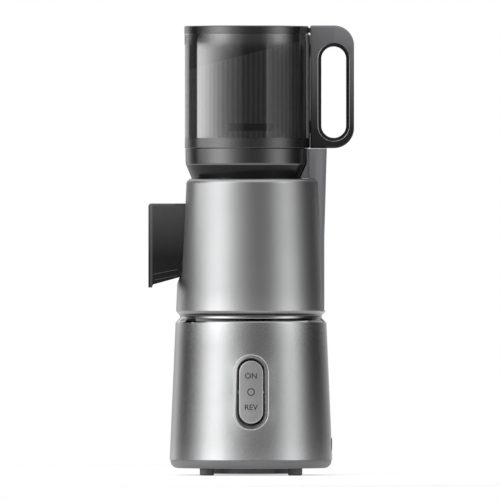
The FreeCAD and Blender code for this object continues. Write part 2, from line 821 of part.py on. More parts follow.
    tube = cylinder("gland_tube", "gland_r", f"{wall_r('gland_z')} + 0.4 - ({wall_r('gland_z')} - gland_deep)",
                    f"{wall_r('gland_z')} - gland_deep", 0, "gland_z", "x")
    inner_wall = f"({wall_r('gland_z + gland_flange_r', 'shell_wall')} - 0.9)"
    flange = cylinder("gland_flange", "gland_flange_r", "2.4", f"{inner_wall} - 2.4", 0, "gland_z", "x")
    bore = cylinder("gland_bore", "gland_bore_r", "gland_deep + 4",
                    f"{wall_r('gland_z')} - gland_deep - 2", 0, "gland_z", "x")
    node(cut("gland", fuse("gland_solid", tube, flange), bore), "cord_gland")


def switch():
    ring = cone_ring("bezel_ring", "switch_z - bezel_tall", "switch_z + bezel_tall", "0", "bezel_thick")
    plug = stadium("bezel_plug", "bezel_wide - 0.2", "bezel_tall - 0.2", "-cone_foot_r - 2", "40",
                   centre_z="switch_z")
    blank = common("bezel_blank", ring, plug)
    window = stadium("bezel_window", "window_wide", "window_tall", "-cone_foot_r - 2", "40",
                     centre_z="switch_z")
    doc.recompute()
    node(cut("bezel", blank, window, feature("bezel_dish", dish_shape())), "switch_bezel")

    plate_ring = cone_ring(
        "rocker_ring", "switch_z - bezel_tall", "switch_z + bezel_tall",
        "rocker_sink", "rocker_sink + rocker_thick")
    plate_plug = stadium("rocker_plug", "rocker_wide", "rocker_tall", "-cone_foot_r - 2", "40",
                         centre_z="switch_z")
    plate = common("rocker_plate", plate_ring, plate_plug)
    edge = rounded("rocker_rounded", plate, "rocker_round", on_rim)
    hub = box("rocker_hub", "rocker_hub_wide", "rocker_hub_y - pivot_y + pivot_r + 2", "rocker_hub_tall",
              "-rocker_hub_wide / 2", "-rocker_hub_y", "switch_z - rocker_hub_tall / 2")
    pivot_bore = cylinder("pivot_bore", "pivot_r + run_gap", "rocker_hub_wide + 4",
                          "-rocker_hub_wide / 2 - 2", "-pivot_y", "switch_z", "x")
    node(cut("rocker", fuse("rocker_solid", edge, hub), pivot_bore), "rocker")

    block = box("block_body", "block_wide", "block_front_y - block_back_y", "block_tall",
                "-block_wide / 2", "-block_front_y", "switch_z - block_tall / 2")
    ears = [
        box(f"block_ear{number}", "block_ear", "block_room + 4", "block_tall - 4",
            x, "-block_front_y - block_room - 3", "switch_z - block_tall / 2 + 2")
        for number, x in enumerate(("-block_wide / 2", "block_wide / 2 - block_ear"))
    ]
    cavity = box("block_hollow", "block_wide - 2 * block_ear - 0.6", "block_cavity", "block_tall - 4",
                 "-block_wide / 2 + block_ear + 0.3", "-block_front_y - 0.01", "switch_z - block_tall / 2 + 2")
    reach = cone_ring("block_reach", "switch_z - bezel_tall", "switch_z + bezel_tall",
                      "-8", "bezel_thick + 0.05")
    pin_way = cylinder("block_pin_way", "pivot_r", "block_wide + 2",
                       "-block_wide / 2 - 1", "-pivot_y", "switch_z", "x")
    node(cut("block", fuse("block_solid", block, *ears), cavity, reach, pin_way), "switch_block")
    node(cylinder("pivot_pin", "pivot_r", "block_wide", "-block_wide / 2", "-pivot_y", "switch_z", "x"),
         "rocker_pin")


def dish_shape():
    """The flared hollow round the rocker: from the window's edge out to the bezel's rim."""
    shallow = -size("cone_foot_r") - 2
    surface = -value(wall_r("switch_z"))
    wires = []
    deep = size("bezel_thick") - size("bezel_land")
    slope = (size("dish_wide") - size("bezel_rim")) / deep
    for y in (shallow, surface + deep):
        spread = (surface + deep - y) * slope
        wires.append(slot_wire(size("window_wide") / 2 + spread, size("window_tall") / 2 + spread, y))
    made = Part.makeLoft(wires, True, True)
    made.translate(Vector(0, 0, size("switch_z")))
    return made


def slot_wire(half_wide, half_tall, y, centre_x=0.0, centre_z=0.0):
    """A slot outline with round ends, in the plane at y."""
    reach = half_tall - half_wide
    corner = {
        "right_low": Vector(centre_x + half_wide, y, centre_z - reach),
        "right_high": Vector(centre_x + half_wide, y, centre_z + reach),
        "left_high": Vector(centre_x - half_wide, y, centre_z + reach),
        "left_low": Vector(centre_x - half_wide, y, centre_z - reach),
    }
    top = Vector(centre_x, y, centre_z + half_tall)
    bottom = Vector(centre_x, y, centre_z - half_tall)
    edges = [
        Part.LineSegment(corner["right_low"], corner["right_high"]).toShape(),
        Part.Arc(corner["right_high"], top, corner["left_high"]).toShape(),
        Part.LineSegment(corner["left_high"], corner["left_low"]).toShape(),
        Part.Arc(corner["left_low"], bottom, corner["right_low"]).toShape(),
    ]
    return Part.Wire(edges)


def on_rim(edge):
    """True for an edge of the rocker's outer face."""
    middle = edge.valueAt((edge.FirstParameter + edge.LastParameter) / 2)
    outward = math.hypot(middle.x, middle.y)
    surface = size("cone_foot_r") - size("cone_slope") * middle.z - size("rocker_sink")
    return abs(outward - surface) < 0.05


def sleeve_and_spine():
    cone_body = turned("sleeve_cone", [
        (wall_r("sleeve_z"), "sleeve_z"),
        (wall_r("sleeve_top"), "sleeve_top"),
        ("bowl_r - axis_shift - 3", "sleeve_top"),
        ("bowl_r - axis_shift - 3", "sleeve_top - sleeve_flange"),
        (wall_r("sleeve_top - sleeve_flange", "sleeve_wall"), "sleeve_top - sleeve_flange"),
        (wall_r("sleeve_z", "sleeve_wall"), "sleeve_z"),
    ], rounds=[(wall_r("sleeve_top"), "sleeve_top", "sleeve_round")])
    mouth = cylinder("sleeve_mouth", "bowl_r + mouth_gap", "20", "-axis_shift", 0, "sleeve_top - 10")
    slot_round = cylinder("slot_round", "slot_half", "60", "-cone_foot_r - 4", 0, "slot_centre_z", "x")
    slot_open = box("slot_open", "60", "2 * slot_half", "sleeve_top - slot_centre_z + 5",
                    "-cone_foot_r - 4", "-slot_half", "slot_centre_z")
    rear = box("spine_way", "60", "2 * spine_half + 0.4", "sleeve_top - sleeve_z + 4",
               "spine_front_x - 0.2", "-spine_half - 0.2", "sleeve_z - 2")
    node(cut("sleeve", cone_body, mouth, slot_round, slot_open, rear), "body_sleeve")

    wall = size("spine_wall")
    foot_z = value("sleeve_z")
    outer = spine_loft(0.0, foot_z, size("spine_top_z"))
    inner = spine_loft(wall, foot_z - 1.0, size("spine_top_z") - wall)
    node(feature("spine", outer.cut(inner)), "rear_spine")

    node(box("reed", "reed_wide", "reed_deep", "reed_tall",
             "(spine_front_x + spine_waist_x - reed_wide) / 2", "-reed_deep / 2",
             "spine_top_z - spine_wall - reed_tall"), "reed_switch")

    deck = cylinder("deck_disc", "groove_inner_r - 0.3", "deck_thick", z="shell_top_z")
    post_foot = "(cover_z + cover_thick)"
    posts = []
    ways = [cylinder("deck_bore", "seal_r", "deck_thick + 4", "-axis_shift", 0, "shell_top_z - 2")]
    screws = []
    for number, angle in enumerate(polar(4)):
        across, along = around(angle + 45, "post_circle_r", "axis_shift")
        posts.append(cylinder(
            f"post{number}", "post_r", f"shell_top_z - {post_foot}", across, along, post_foot))
        ways.append(cylinder(
            f"post_way{number}", "post_screw_r", "post_screw_long + 1", across, along, "cover_z"))
        head = cylinder(f"post_head{number}", "post_screw_head_r", "post_screw_head",
                        across, along, "cover_z - post_screw_head")
        shank = cylinder(f"post_shank{number}", "post_screw_r", "post_screw_long", across, along, "cover_z")
        screws.append(fuse(f"post_screw{number}", head, shank))
    node(cut("deck", fuse("deck_solid", deck, *posts), *ways), "deck_plate")
    node(group("post_screws", *screws), "gearbox_screws")


def spine_loft(inset, low_z, high_z):
    """The spine's outer form, or its hollow when inset: a rounded box with a leaning back."""
    wires = []
    for z in (low_z, size("spine_waist_z"), high_z):
        if z <= size("spine_waist_z"):
            rear = size("spine_waist_x")
        else:
            rear = size("spine_rear_x")
        front = size("spine_front_x") + inset
        half = size("spine_half") - inset
        corner = size("spine_corner") - inset
        rear -= inset
        bend = corner * (1 - math.sqrt(0.5))
        points = [
            Vector(front, -half, z),
            Vector(rear - corner, -half, z),
            Vector(rear, corner - half, z),
            Vector(rear, half - corner, z),
            Vector(rear - corner, half, z),
            Vector(front, half, z),
        ]
        low_bend = Vector(rear - bend, bend - half, z)
        high_bend = Vector(rear - bend, half - bend, z)
        edges = [
            Part.LineSegment(points[0], points[1]).toShape(),
            Part.Arc(points[1], low_bend, points[2]).toShape(),
            Part.LineSegment(points[2], points[3]).toShape(),
            Part.Arc(points[3], high_bend, points[4]).toShape(),
            Part.LineSegment(points[4], points[5]).toShape(),
            Part.LineSegment(points[5], points[0]).toShape(),
        ]
        wires.append(Part.Wire(edges))
    return Part.makeLoft(wires, True, True)


def drive():
    shift = "axis_shift"
    node(turned("can", [
        ("bearing_r", "can_foot_z"),
        ("can_r", "can_foot_z"),
        ("can_r", "can_top"),
        ("bearing_r", "can_top"),
        ("bearing_r", "can_top - bearing_tall"),
        ("bearing_r + 3", "can_top - bearing_tall"),
        ("bearing_r + 3", "can_top - can_end"),
        ("can_r - can_wall", "can_top - can_end"),
        ("can_r - can_wall", "can_foot_z + can_end"),
        ("bearing_r + 3", "can_foot_z + can_end"),
        ("bearing_r + 3", "can_foot_z + bearing_tall"),
        ("bearing_r", "can_foot_z + bearing_tall"),
    ], shift), "motor_can")
    for label, foot in (("lower_bearing", "can_foot_z"), ("upper_bearing", "can_top - bearing_tall")):
        node(tube(label + "_ring", "bearing_r", "shaft_r + run_gap", foot, "bearing_tall"), label)

    middle = "can_middle"
    core = tube("stator_ring", "can_r - can_wall - 0.1", "stator_in_r",
                f"{middle} - stator_tall / 2", "stator_tall")
    slots = []
    for number, angle in enumerate(polar(STATOR_SLOTS)):
        slot = box(f"stator_slot{number}", "coil_out_r - stator_in_r + 2", "stator_slot", "stator_tall + 2")
        slot.Placement = Placement(ORIGIN, Rotation(Vector(0, 0, 1), angle))
        start = around(angle, "stator_in_r - 2", shift)
        side = around(angle - 90, "stator_slot / 2")
        place(slot, f"{start[0]} + {side[0]}", f"{start[1]} + {side[1]}", f"{middle} - stator_tall / 2 - 1")
        slots.append(slot)
    node(cut("stator", core, *slots), "motor_stator")
    coils = [
        tube(f"coil{number}", "coil_out_r", "coil_in_r", foot, "coil_tall")
        for number, foot in enumerate((f"{middle} + stator_tall / 2",
                                       f"{middle} - stator_tall / 2 - coil_tall"))
    ]
    node(group("coils", *coils), "motor_coils")

    node(tube("mount", "can_r + 3", "bearing_r - 1", "can_top", "mount_thick"), "motor_mount")
    node(turned("case", [
        ("2 * shaft_r", "case_z"),
        ("case_r", "case_z"),
        ("case_r", "cover_z"),
        ("ring_rim_r", "cover_z"),
        ("ring_rim_r", "gear_z"),
        ("2 * shaft_r", "gear_z"),
    ], shift), "gearbox_case")
    neck_top = "cover_z + output_bearing_tall + cover_cap"
    cover = turned("cover", [
        ("output_bearing_r", "cover_z"),
        ("cover_r", "cover_z"),
        ("cover_r", "cover_z + cover_thick"),
        ("cover_neck_r", "cover_z + cover_thick"),
        ("cover_neck_r", neck_top),
        ("output_r + 2", neck_top),
        ("output_r + 2", "cover_z + output_bearing_tall"),
        ("output_bearing_r", "cover_z + output_bearing_tall"),
    ], shift)
    holes = []
    for number, angle in enumerate(polar(4)):
        across, along = around(angle + 45, "post_circle_r", shift)
        holes.append(cylinder(
            f"cover_way{number}", "post_screw_r", "cover_thick + 2", across, along, "cover_z - 1"))
    node(cut("cover_drilled", cover, *holes), "gearbox_cover")
    node(tube("output_race", "output_bearing_r", "output_r + run_gap", "cover_z", "output_bearing_tall"),
         "output_bearing")
    node(tube("seal", "seal_r", "output_r + 2 * run_gap", "shell_top_z", "deck_thick"), "shaft_seal")

    node(box("board", "board_wide", "board_thick", "board_tall", "-board_wide / 2", "board_y", "board_z"),
         "control_board")

    shaft_top = "(gear_z + ring_tall - 1)"
    node(cylinder("shaft", "shaft_r", f"{shaft_top} - shaft_foot_z", "-axis_shift", 0, "shaft_foot_z"),
         "rotor_shaft")
    node(tube("rotor", "rotor_r", "shaft_r", f"{middle} - rotor_tall / 2", "rotor_tall"), "rotor_core")
    hub = cylinder("fan_hub", "fan_hub_r", "fan_tall", "-axis_shift", 0, "fan_z")
    blades = []
    for number, angle in enumerate(polar(FAN_BLADES)):
        blade = box(f"fan_blade{number}", "fan_r - fan_hub_r + 1", "fan_blade", "fan_tall")
        blade.Placement = Placement(ORIGIN, Rotation(Vector(0, 0, 1), angle))
        start = around(angle, "fan_hub_r - 1", shift)
        side = around(angle - 90, "fan_blade / 2")
        place(blade, f"{start[0]} + {side[0]}", f"{start[1]} + {side[1]}", "fan_z")
        blades.append(blade)
    bore = cylinder("fan_bore", "shaft_r", "fan_tall + 2", "-axis_shift", 0, "fan_z - 1")
    node(cut("fan", fuse("fan_solid", hub, *blades), bore), "cooling_fan")
    gears(shift)


def tube(name, outer, inner, foot, tall, shift="axis_shift"):
    """A plain ring about the drive axis."""
    return turned(name, [
        (inner, foot),
        (outer, foot),
        (outer, f"{foot} + ({tall})"),
        (inner, f"{foot} + ({tall})"),
    ], shift)


def gears(shift):
    module = size("gear_module")
    centre_r = module * (SUN_TEETH + PLANET_TEETH) / 2
    axis = Vector(-size("axis_shift"), 0, 0)
    floor = value("gear_z")
    wide = size("gear_wide")
    thin = size("gear_thin")

    sun = gear_solid(SUN_TEETH, thin, 0.0, wide + 1)
    sun = sun.cut(Part.makeCylinder(size("shaft_r"), wide + 1))
    sun.translate(axis + Vector(0, 0, floor + 1))
    node(feature("sun", sun), "sun_gear")

    planet = gear_solid(PLANET_TEETH, thin, 180.0 / PLANET_TEETH, wide)
    planet = planet.cut(Part.makeCylinder(size("planet_pin_r") + size("run_gap"), wide))
    planet.translate(Vector(centre_r, 0, floor + 2))
    for letter, copy in zip("abc", turned_copies(planet, PLANETS)):
        copy.translate(axis)
        node(feature("planet_" + letter, copy), "planet_gear_" + letter)

    rim = Part.makeCylinder(size("ring_rim_r") - 0.1, size("ring_tall"))
    teeth = gear_solid(RING_TEETH, -thin, 180.0 / RING_TEETH, size("ring_tall"), inside=True)
    ring = rim.cut(teeth)
    ring.translate(axis + Vector(0, 0, floor))
    node(feature("ring", ring), "ring_gear")

    plate = cylinder("carrier_plate", "carrier_r", "carrier_thick", "-axis_shift", 0, "carrier_z")
    pins = []
    for number, angle in enumerate(polar(PLANETS)):
        across, along = around(angle, "gear_pitch_r", shift)
        pins.append(cylinder(f"planet_pin{number}", "planet_pin_r", "carrier_z - gear_z - 1.5",
                             across, along, "gear_z + 1.5"))
    node(fuse("carrier", plate, *pins), "planet_carrier")

    carrier_top = "(carrier_z + carrier_thick)"
    hex_foot = "(bowl_hub_top_z - 0.5)"
    stem = cylinder("output_stem", "output_r", f"{hex_foot} - {carrier_top}", "-axis_shift", 0, carrier_top)
    drive_hex = hexagon("output_hex", "hex_flat", "hex_top_z - " + hex_foot, hex_foot)
    node(fuse("output", stem, drive_hex), "output_shaft")


def hexagon(name, across_flats, tall, foot):
    made = doc.addObject("Part::Prism", name)
    made.Polygon = 6
    bind(made, Circumradius=f"({across_flats}) / sqrt(3)", Height=tall)
    return place(made, "-axis_shift", 0, foot)


def gear_solid(teeth, thin, turn, wide, inside=False):
    """An involute spur gear of 20 degrees, or the hollow of a ring gear when inside."""
    module = size("gear_module")
    pitch_r = module * teeth / 2
    base_r = pitch_r * math.cos(math.radians(20))
    tip, root = (1.1, 0.85) if inside else (0.85, 1.1)
    low_r, high_r = pitch_r - root * module, pitch_r + tip * module
    half_tooth = math.pi / (2 * teeth) - thin / pitch_r

    def involute(angle):
        return math.tan(angle) - angle

    def spread(radius):
        angle = math.acos(min(1.0, base_r / radius))
        return half_tooth + involute(math.radians(20)) - involute(angle)

    flank_foot = max(low_r, base_r)
    levels = [flank_foot + (high_r - flank_foot) * n / 3 for n in range(4)]
    if low_r < base_r:
        levels.insert(0, low_r)
    points = []
    for tooth in range(teeth):
        middle = 2 * math.pi * tooth / teeth + math.radians(turn)
        for radius in levels:
            angle = middle - spread(radius)
            points.append(Vector(radius * math.cos(angle), radius * math.sin(angle), 0))
        for radius in reversed(levels):
            angle = middle + spread(radius)
            points.append(Vector(radius * math.cos(angle), radius * math.sin(angle), 0))
    face = Part.Face(Part.makePolygon(points + points[:1]))
    return face.extrude(Vector(0, 0, wide))


def drum():
    shift = "axis_shift"
    foot = "deck_top + seat_gap"
    floor_top = "bowl_top_z"
    shelf = "(collar_z + collar_step)"
    bowl_top = f"({shelf} - collar_shelf)"
    bowl = turned("bowl_turned", [
        ("bowl_r - bowl_wall", foot),
        ("bowl_r", foot),
        ("bowl_r", bowl_top),
        ("bowl_r - bowl_wall", bowl_top),
        ("bowl_r - bowl_wall", floor_top),
        ("bowl_hub_r", floor_top),
        ("bowl_hub_r", "bowl_hub_top_z"),
        ("hub_in_r", "bowl_hub_top_z"),
        ("hub_in_r", "bowl_floor_z"),
        ("bowl_r - bowl_wall", "bowl_floor_z"),
    ], shift)
    outlets = [
        cylinder(f"{kind}_way", f"{kind}_bore_r", "bowl_wall + 12",
                 "-axis_shift - bowl_r - 2", f"{side} * outlet_y", "outlet_z", "x")
        for kind, side in (("juice", -1), ("pulp", 1))
    ]
    node(cut("bowl", bowl, *outlets), "drum_bowl")
    node(tube("hub_ring", "hub_in_r", "output_r + 2 * run_gap",
              "bowl_hub_top_z - 8", "8"), "hub_seal")

    node(turned("collar", [
        ("bowl_r", "collar_z"),
        ("collar_foot_r", "collar_z"),
        ("collar_shoulder_r", "collar_z + collar_bevel"),
        ("collar_r", "collar_top"),
        ("collar_seat_r", "collar_top"),
        ("collar_seat_r", shelf),
        ("bowl_r - bowl_wall", shelf),
        ("bowl_r - bowl_wall", bowl_top),
        ("bowl_r", bowl_top),
    ], shift, rounds=[("collar_shoulder_r", "collar_z + collar_bevel", "shoulder_round"),
                      ("collar_r", "collar_top", "edge_break")]), "drum_collar")

    cage_top = "(collar_z - cage_drop)"
    rings = [
        tube("cage_foot", "cage_r", "screen_r + screen_gap", floor_top, "cage_ring"),
        tube("cage_top", "cage_r", "screen_r + screen_gap", f"{cage_top} - cage_ring", "cage_ring"),
    ]
    for number, angle in enumerate(polar(CAGE_BARS)):
        bar = box(f"cage_bar{number}", "cage_thick - 0.3", "cage_bar", f"{cage_top} - {floor_top}")
        bar.Placement = Placement(ORIGIN, Rotation(Vector(0, 0, 1), angle))
        start = around(angle, "screen_r + screen_gap + 0.1", shift)
        side = around(angle - 90, "cage_bar / 2")
        place(bar, f"{start[0]} + {side[0]}", f"{start[1]} + {side[1]}", floor_top)
        rings.append(bar)
    node(fuse("cage", *rings), "strainer_cage")
    sieve = tube("screen_wall_ring", "screen_r", "screen_r - screen_wall", floor_top,
                 f"{cage_top} - {floor_top}")
    slits = []
    for number, angle in enumerate(polar(SCREEN_SLOTS)):
        slit = box(f"screen_slit{number}", "6", "screen_slot", "screen_slot_tall")
        slit.Placement = Placement(ORIGIN, Rotation(Vector(0, 0, 1), angle + 180 / SCREEN_SLOTS))
        start = around(angle + 180 / SCREEN_SLOTS, "screen_r - 3", shift)
        side = around(angle + 180 / SCREEN_SLOTS - 90, "screen_slot / 2")
        place(slit, f"{start[0]} + {side[0]}", f"{start[1]} + {side[1]}", f"{floor_top} + cage_ring + 2")
        slits.append(slit)
    node(cut("screen", sieve, *slits), "strainer_screen")
    spout()
    auger()


def spout():
    block = prism("hood_block", [
        ("-hood_front_x", "hood_top_z"),
        ("-hood_front_x", "hood_lip_z"),
        ("-hood_front_x + hood_front_wall", "hood_lip_z"),
        ("-hood_front_x + hood_front_wall + 1", "hood_rim_front_z"),
        ("-hood_back_x", "hood_rim_back_z"),
        ("-hood_back_x", "hood_top_z"),
    ], "hood_half")
    front_x = -size("hood_front_x")
    corners = rounded("hood_corners", block, "hood_corner",
                      lambda e: upright(e) and abs(e.Vertexes[0].X - front_x) < 0.01)
    outer = rounded("hood_outer", corners, "hood_top_round", lambda e: at_level(e, "hood_top_z", front_x))
    hollow = box("hood_hollow", "hood_front_x - hood_back_x - hood_front_wall + 2",
                 "2 * (hood_half - hood_wall)", "hood_top_z - hood_wall - hood_lip_z + 2",
                 "-hood_front_x + hood_front_wall", "-hood_half + hood_wall", "hood_lip_z - 2")
    sleeve_space = cone("hood_sleeve_space", wall_r("hood_lip_z - 2", "-hood_gap"),
                        wall_r("hood_top_z + 2", "-hood_gap"), "hood_top_z - hood_lip_z + 4", "hood_lip_z - 2")
    cover = cut("hood_cover", outer, hollow, sleeve_space)
    neck_long = "neck_start_x - axis_shift - bowl_r + 10"
    neck = box("neck_block", neck_long, "2 * neck_half", "hood_top_z - neck_foot_z",
               "-neck_start_x", "-neck_half", "neck_foot_z")
    foot_z = size("neck_foot_z")
    neck_outer = rounded("neck_outer", neck, "neck_corner",
                         lambda e: lengthwise(e) and abs(e.Vertexes[0].Z - foot_z) < 0.01)
    bore = box("neck_bore_block", neck_long + " + 4", "2 * (neck_half - hood_wall)",
               "hood_top_z - neck_foot_z - 2 * hood_wall",
               "-neck_start_x - 2", "-neck_half + hood_wall", "neck_foot_z + hood_wall")
    bore_z = size("neck_foot_z") + size("hood_wall")
    bore_outer = rounded("neck_bore", bore, "neck_corner - hood_wall",
                         lambda e: lengthwise(e) and abs(e.Vertexes[0].Z - bore_z) < 0.01)
    clear = cylinder("hood_bowl_space", "bowl_r", "hood_top_z - hood_lip_z + 20",
                     "-axis_shift", 0, "hood_lip_z - 10")
    trough = cut("neck_trough", neck_outer, bore_outer)
    node(cut("hood", fuse("hood_solid", cover, trough), clear), "spout_hood")

    for kind, side in (("juice", -1), ("pulp", 1)):
        outer_r = f"({kind}_bore_r + {kind}_wall)"
        across = f"{side} * outlet_y"
        long = "outlet_x - axis_shift - bowl_r + 12"
        solids = [
            cylinder(f"{kind}_arm", outer_r, long, "-outlet_x", across, "outlet_z", "x"),
            cylinder(f"{kind}_drop", outer_r, "outlet_z - outlet_mouth_z", "-outlet_x", across, "outlet_mouth_z"),
            sphere(f"{kind}_elbow", outer_r, "-outlet_x", across, "outlet_z"),
        ]
        bores = [
            cylinder(f"{kind}_arm_bore", f"{kind}_bore_r", f"{long} + 2", "-outlet_x", across, "outlet_z", "x"),
            cylinder(f"{kind}_drop_bore", f"{kind}_bore_r", "outlet_z - outlet_mouth_z + 2",
                     "-outlet_x", across, "outlet_mouth_z - 2"),
            sphere(f"{kind}_elbow_bore", f"{kind}_bore_r", "-outlet_x", across, "outlet_z"),
            cylinder(f"{kind}_bowl_space", "bowl_r", "60", "-axis_shift", 0, "outlet_z - 30"),
        ]
        node(cut(f"{kind}_pipe", fuse(f"{kind}_solid", *solids), *bores), f"{kind}_nozzle")


def at_level(edge, alias, x):
    """True for an edge at a height, in the plane at x."""
    return all(abs(v.Z - size(alias)) < 0.01 and abs(v.X - x) < 0.01 for v in edge.Vertexes)


def lengthwise(edge):
    """True for a straight edge along X."""
    first, last = edge.Vertexes[0].Point, edge.Vertexes[-1].Point
    return abs(first.y - last.y) < 1e-6 and abs(first.z - last.z) < 1e-6


def auger():
    foot, top = size("auger_foot_z"), size("auger_top_z")
    wires = []
    for step in range(AUGER_STEPS + 1):
        share = step / AUGER_STEPS
        core = size("auger_foot_r") + (size("auger_neck_r") - size("auger_foot_r")) * share
        flight = size("auger_flight_r")
        lead = 2 * math.pi * AUGER_TURNS * share
        points = []
        for number in range(AUGER_POINTS):
            angle = 2 * math.pi * number / AUGER_POINTS
            rise = max(0.0, math.cos(angle)) ** 6
            radius = core + (flight - core) * rise
            turn = angle + lead
            points.append(Vector(radius * math.cos(turn), radius * math.sin(turn),
                                 foot + (top - foot) * share))
        wires.append(Part.makePolygon(points + points[:1]))
    screw = Part.makeLoft(wires, True, True)
    screw.translate(Vector(-size("axis_shift"), 0, 0))
    screw_solid = feature("auger_screw", screw)
    recess = cylinder("auger_recess", "bowl_hub_r + 0.6", "bowl_hub_top_z + seat_gap - auger_foot_z + 2",
                      "-axis_shift", 0, "auger_foot_z - 2")
    socket = hexagon("auger_socket", "hex_flat + 2 * hex_gap", "socket_tall + 6", "bowl_hub_top_z - 1")
    node(cut("auger", screw_solid, recess, socket), "auger")

    stem = cylinder("blade_hub", "blade_hub_r", "blade_foot_z - auger_top_z", "-axis_shift", 0, "auger_top_z")
    bar = box("blade_bar", "2 * blade_half", "blade_wide", "blade_tall",
              "-blade_half + 1", "-blade_wide / 2", "blade_foot_z")
    node(fuse("blade", stem, bar), "auger_blade")


def hopper():
    shift = "axis_shift"
    node(tube("gasket", "spigot_out_r - 0.2", "spigot_in_r - 0.5",
              "(collar_z + collar_step + seat_gap)", "gasket_tall"), "hopper_gasket")
    floor_top = "(hopper_z + hopper_floor)"
    spigot_foot = "(hopper_z - spigot_tall)"
    node(turned("hopper_ring", [
        ("hopper_floor_r", "hopper_z"),
        ("spigot_in_r", "hopper_z"),
        ("spigot_in_r", spigot_foot),
        ("spigot_out_r", spigot_foot),
        ("spigot_out_r", "hopper_z"),
        ("hopper_base_r", "hopper_z"),
        ("hopper_base_r", "tube_z"),
        ("hopper_r - hopper_wall", "tube_z"),
        ("hopper_r - hopper_wall", floor_top),
        ("hopper_floor_r", floor_top),
    ], shift, rounds=[("hopper_base_r", "hopper_z", "edge_break")]), "hopper_base")
    node(tube("hopper_wall_tube", "hopper_r", "hopper_r - hopper_wall", "tube_z", "tube_tall"), "hopper_tube")

    liner_out = "(hopper_r - hopper_wall - liner_gap)"
    wall = tube("liner_wall_ring", liner_out, f"{liner_out} - liner_wall", floor_top,
                f"liner_high_z - {floor_top}")
    ribs = []
    for number, angle in enumerate(polar(LINER_RIBS)):
        rib = box(f"liner_rib{number}", "rib_deep + 0.4", "rib_wide", f"liner_high_z - {floor_top}")
        rib.Placement = Placement(ORIGIN, Rotation(Vector(0, 0, 1), angle))
        start = around(angle, f"{liner_out} - liner_wall - rib_deep", shift)
        side = around(angle - 90, "rib_wide / 2")
        place(rib, f"{start[0]} + {side[0]}", f"{start[1]} + {side[1]}", floor_top)
        ribs.append(rib)
    slope = prism("liner_slope", [
        ("-axis_shift - hopper_r", "liner_low_z"),
        ("-axis_shift + hopper_r", "liner_high_z"),
        ("-axis_shift + hopper_r", "liner_high_z + 60"),
        ("-axis_shift - hopper_r", "liner_high_z + 60"),
    ], "hopper_r")
    node(cut("liner", fuse("liner_solid", wall, *ribs), slope), "feed_liner")
    handle()
    lid()


def handle():
    block = prism("handle_block", [
        ("handle_front_x", "hopper_z"),
        ("handle_rear_x", "hopper_z"),
        ("handle_rear_x", "handle_top_z"),
        ("handle_front_x", "handle_top_z"),
    ], "handle_half")
    front_x, rear_x = size("handle_front_x"), size("handle_rear_x")
    low_z, high_z, half = value("hopper_z"), size("handle_top_z"), size("handle_half")
    bends = rounded("handle_bends", block, "handle_corner",
                    lambda e: crosswise(e, rear_x, low_z) or crosswise(e, rear_x, high_z))
    nose = rounded("handle_nose", bends, "handle_edge", lambda e: crosswise(e, front_x, high_z))
    soft = rounded("handle_soft", nose, "handle_edge",
                   lambda e: all(abs(abs(v.Y) - half) < 0.01 for v in e.Vertexes) and not crosswise_long(e))
    grip = stadium("grip_space", "grip_wide", "grip_tall", "-handle_half - 2", "2 * handle_half + 4",
                   "grip_x", "grip_z")
    hinge_slot = box("hinge_slot", "hinge_slot_x - handle_front_x + 4", "2 * tongue_half + 0.8",
                     "handle_top_z - hinge_slot_z + 4",
                     "handle_front_x - 4", "-tongue_half - 0.4", "hinge_slot_z")
    pin_way = cylinder("hinge_pin_way", "hinge_pin_r", "2 * handle_half - 4",
                       "hinge_x", "-handle_half + 2", "hinge_z", "y")
    magnet_way = cylinder("magnet_way", "magnet_r", "magnet_tall + 2", "magnet_x", 0, "hopper_z - 2")
    tenons = [
        box(f"tenon{number}", "6", "2 * tenon_half", "tenon_tall", "handle_front_x - 4", "-tenon_half", foot)
        for number, foot in enumerate(("tenon_low_z", "tenon_high_z"))
    ]
    tube_space = cylinder("tenon_tube_space", "hopper_r", "tube_tall + 4", "-axis_shift", 0, "tube_z - 2")
    solid = fuse("handle_solid", soft, cut("tenons_fitted", fuse("tenons", *tenons), tube_space))
    node(cut("handle_cut", solid, grip, hinge_slot, pin_way, magnet_way), "handle_body")
    node(cylinder("hinge_pin_rod", "hinge_pin_r", "2 * handle_half - 4",
                  "hinge_x", "-handle_half + 2", "hinge_z", "y"), "hinge_pin")
    node(cylinder("magnet_disc", "magnet_r", "magnet_tall", "magnet_x", 0, "hopper_z"), "handle_magnet")

    ring = stadium("grip_ring", "grip_wide - 2 * liner_fit", "grip_tall - 2 * liner_fit",
                   "-handle_half + grip_inset", "2 * (handle_half - grip_inset)", "grip_x", "grip_z")
    window = stadium("finger_space", "finger_wide", "finger_tall", "-handle_half - 2",
                     "2 * handle_half + 4", "grip_x", "grip_z")
    bevels = [feature(f"grip_bevel{number}", bevel_shape(side)) for number, side in enumerate((-1, 1))]
    node(cut("grip_liner", ring, window, *bevels), "handle_liner")


def crosswise_long(edge):
    """True for an edge that runs from one side of the handle to the other."""
    first, last = edge.Vertexes[0].Point, edge.Vertexes[-1].Point
    return abs(first.y - last.y) > 1.0


def bevel_shape(side):
    """The flared mouth of the finger opening on one side of the handle."""
    face = size("handle_half") - size("grip_inset")
    depth = size("grip_chamfer")
    half_wide, half_tall = size("finger_wide") / 2, size("finger_tall") / 2
    wires = [
        slot_wire(half_wide, half_tall, side * (face - depth), size("grip_x"), size("grip_z")),
        slot_wire(half_wide + depth, half_tall + depth, side * face, size("grip_x"), size("grip_z")),
    ]
    return Part.makeLoft(wires, True, True)


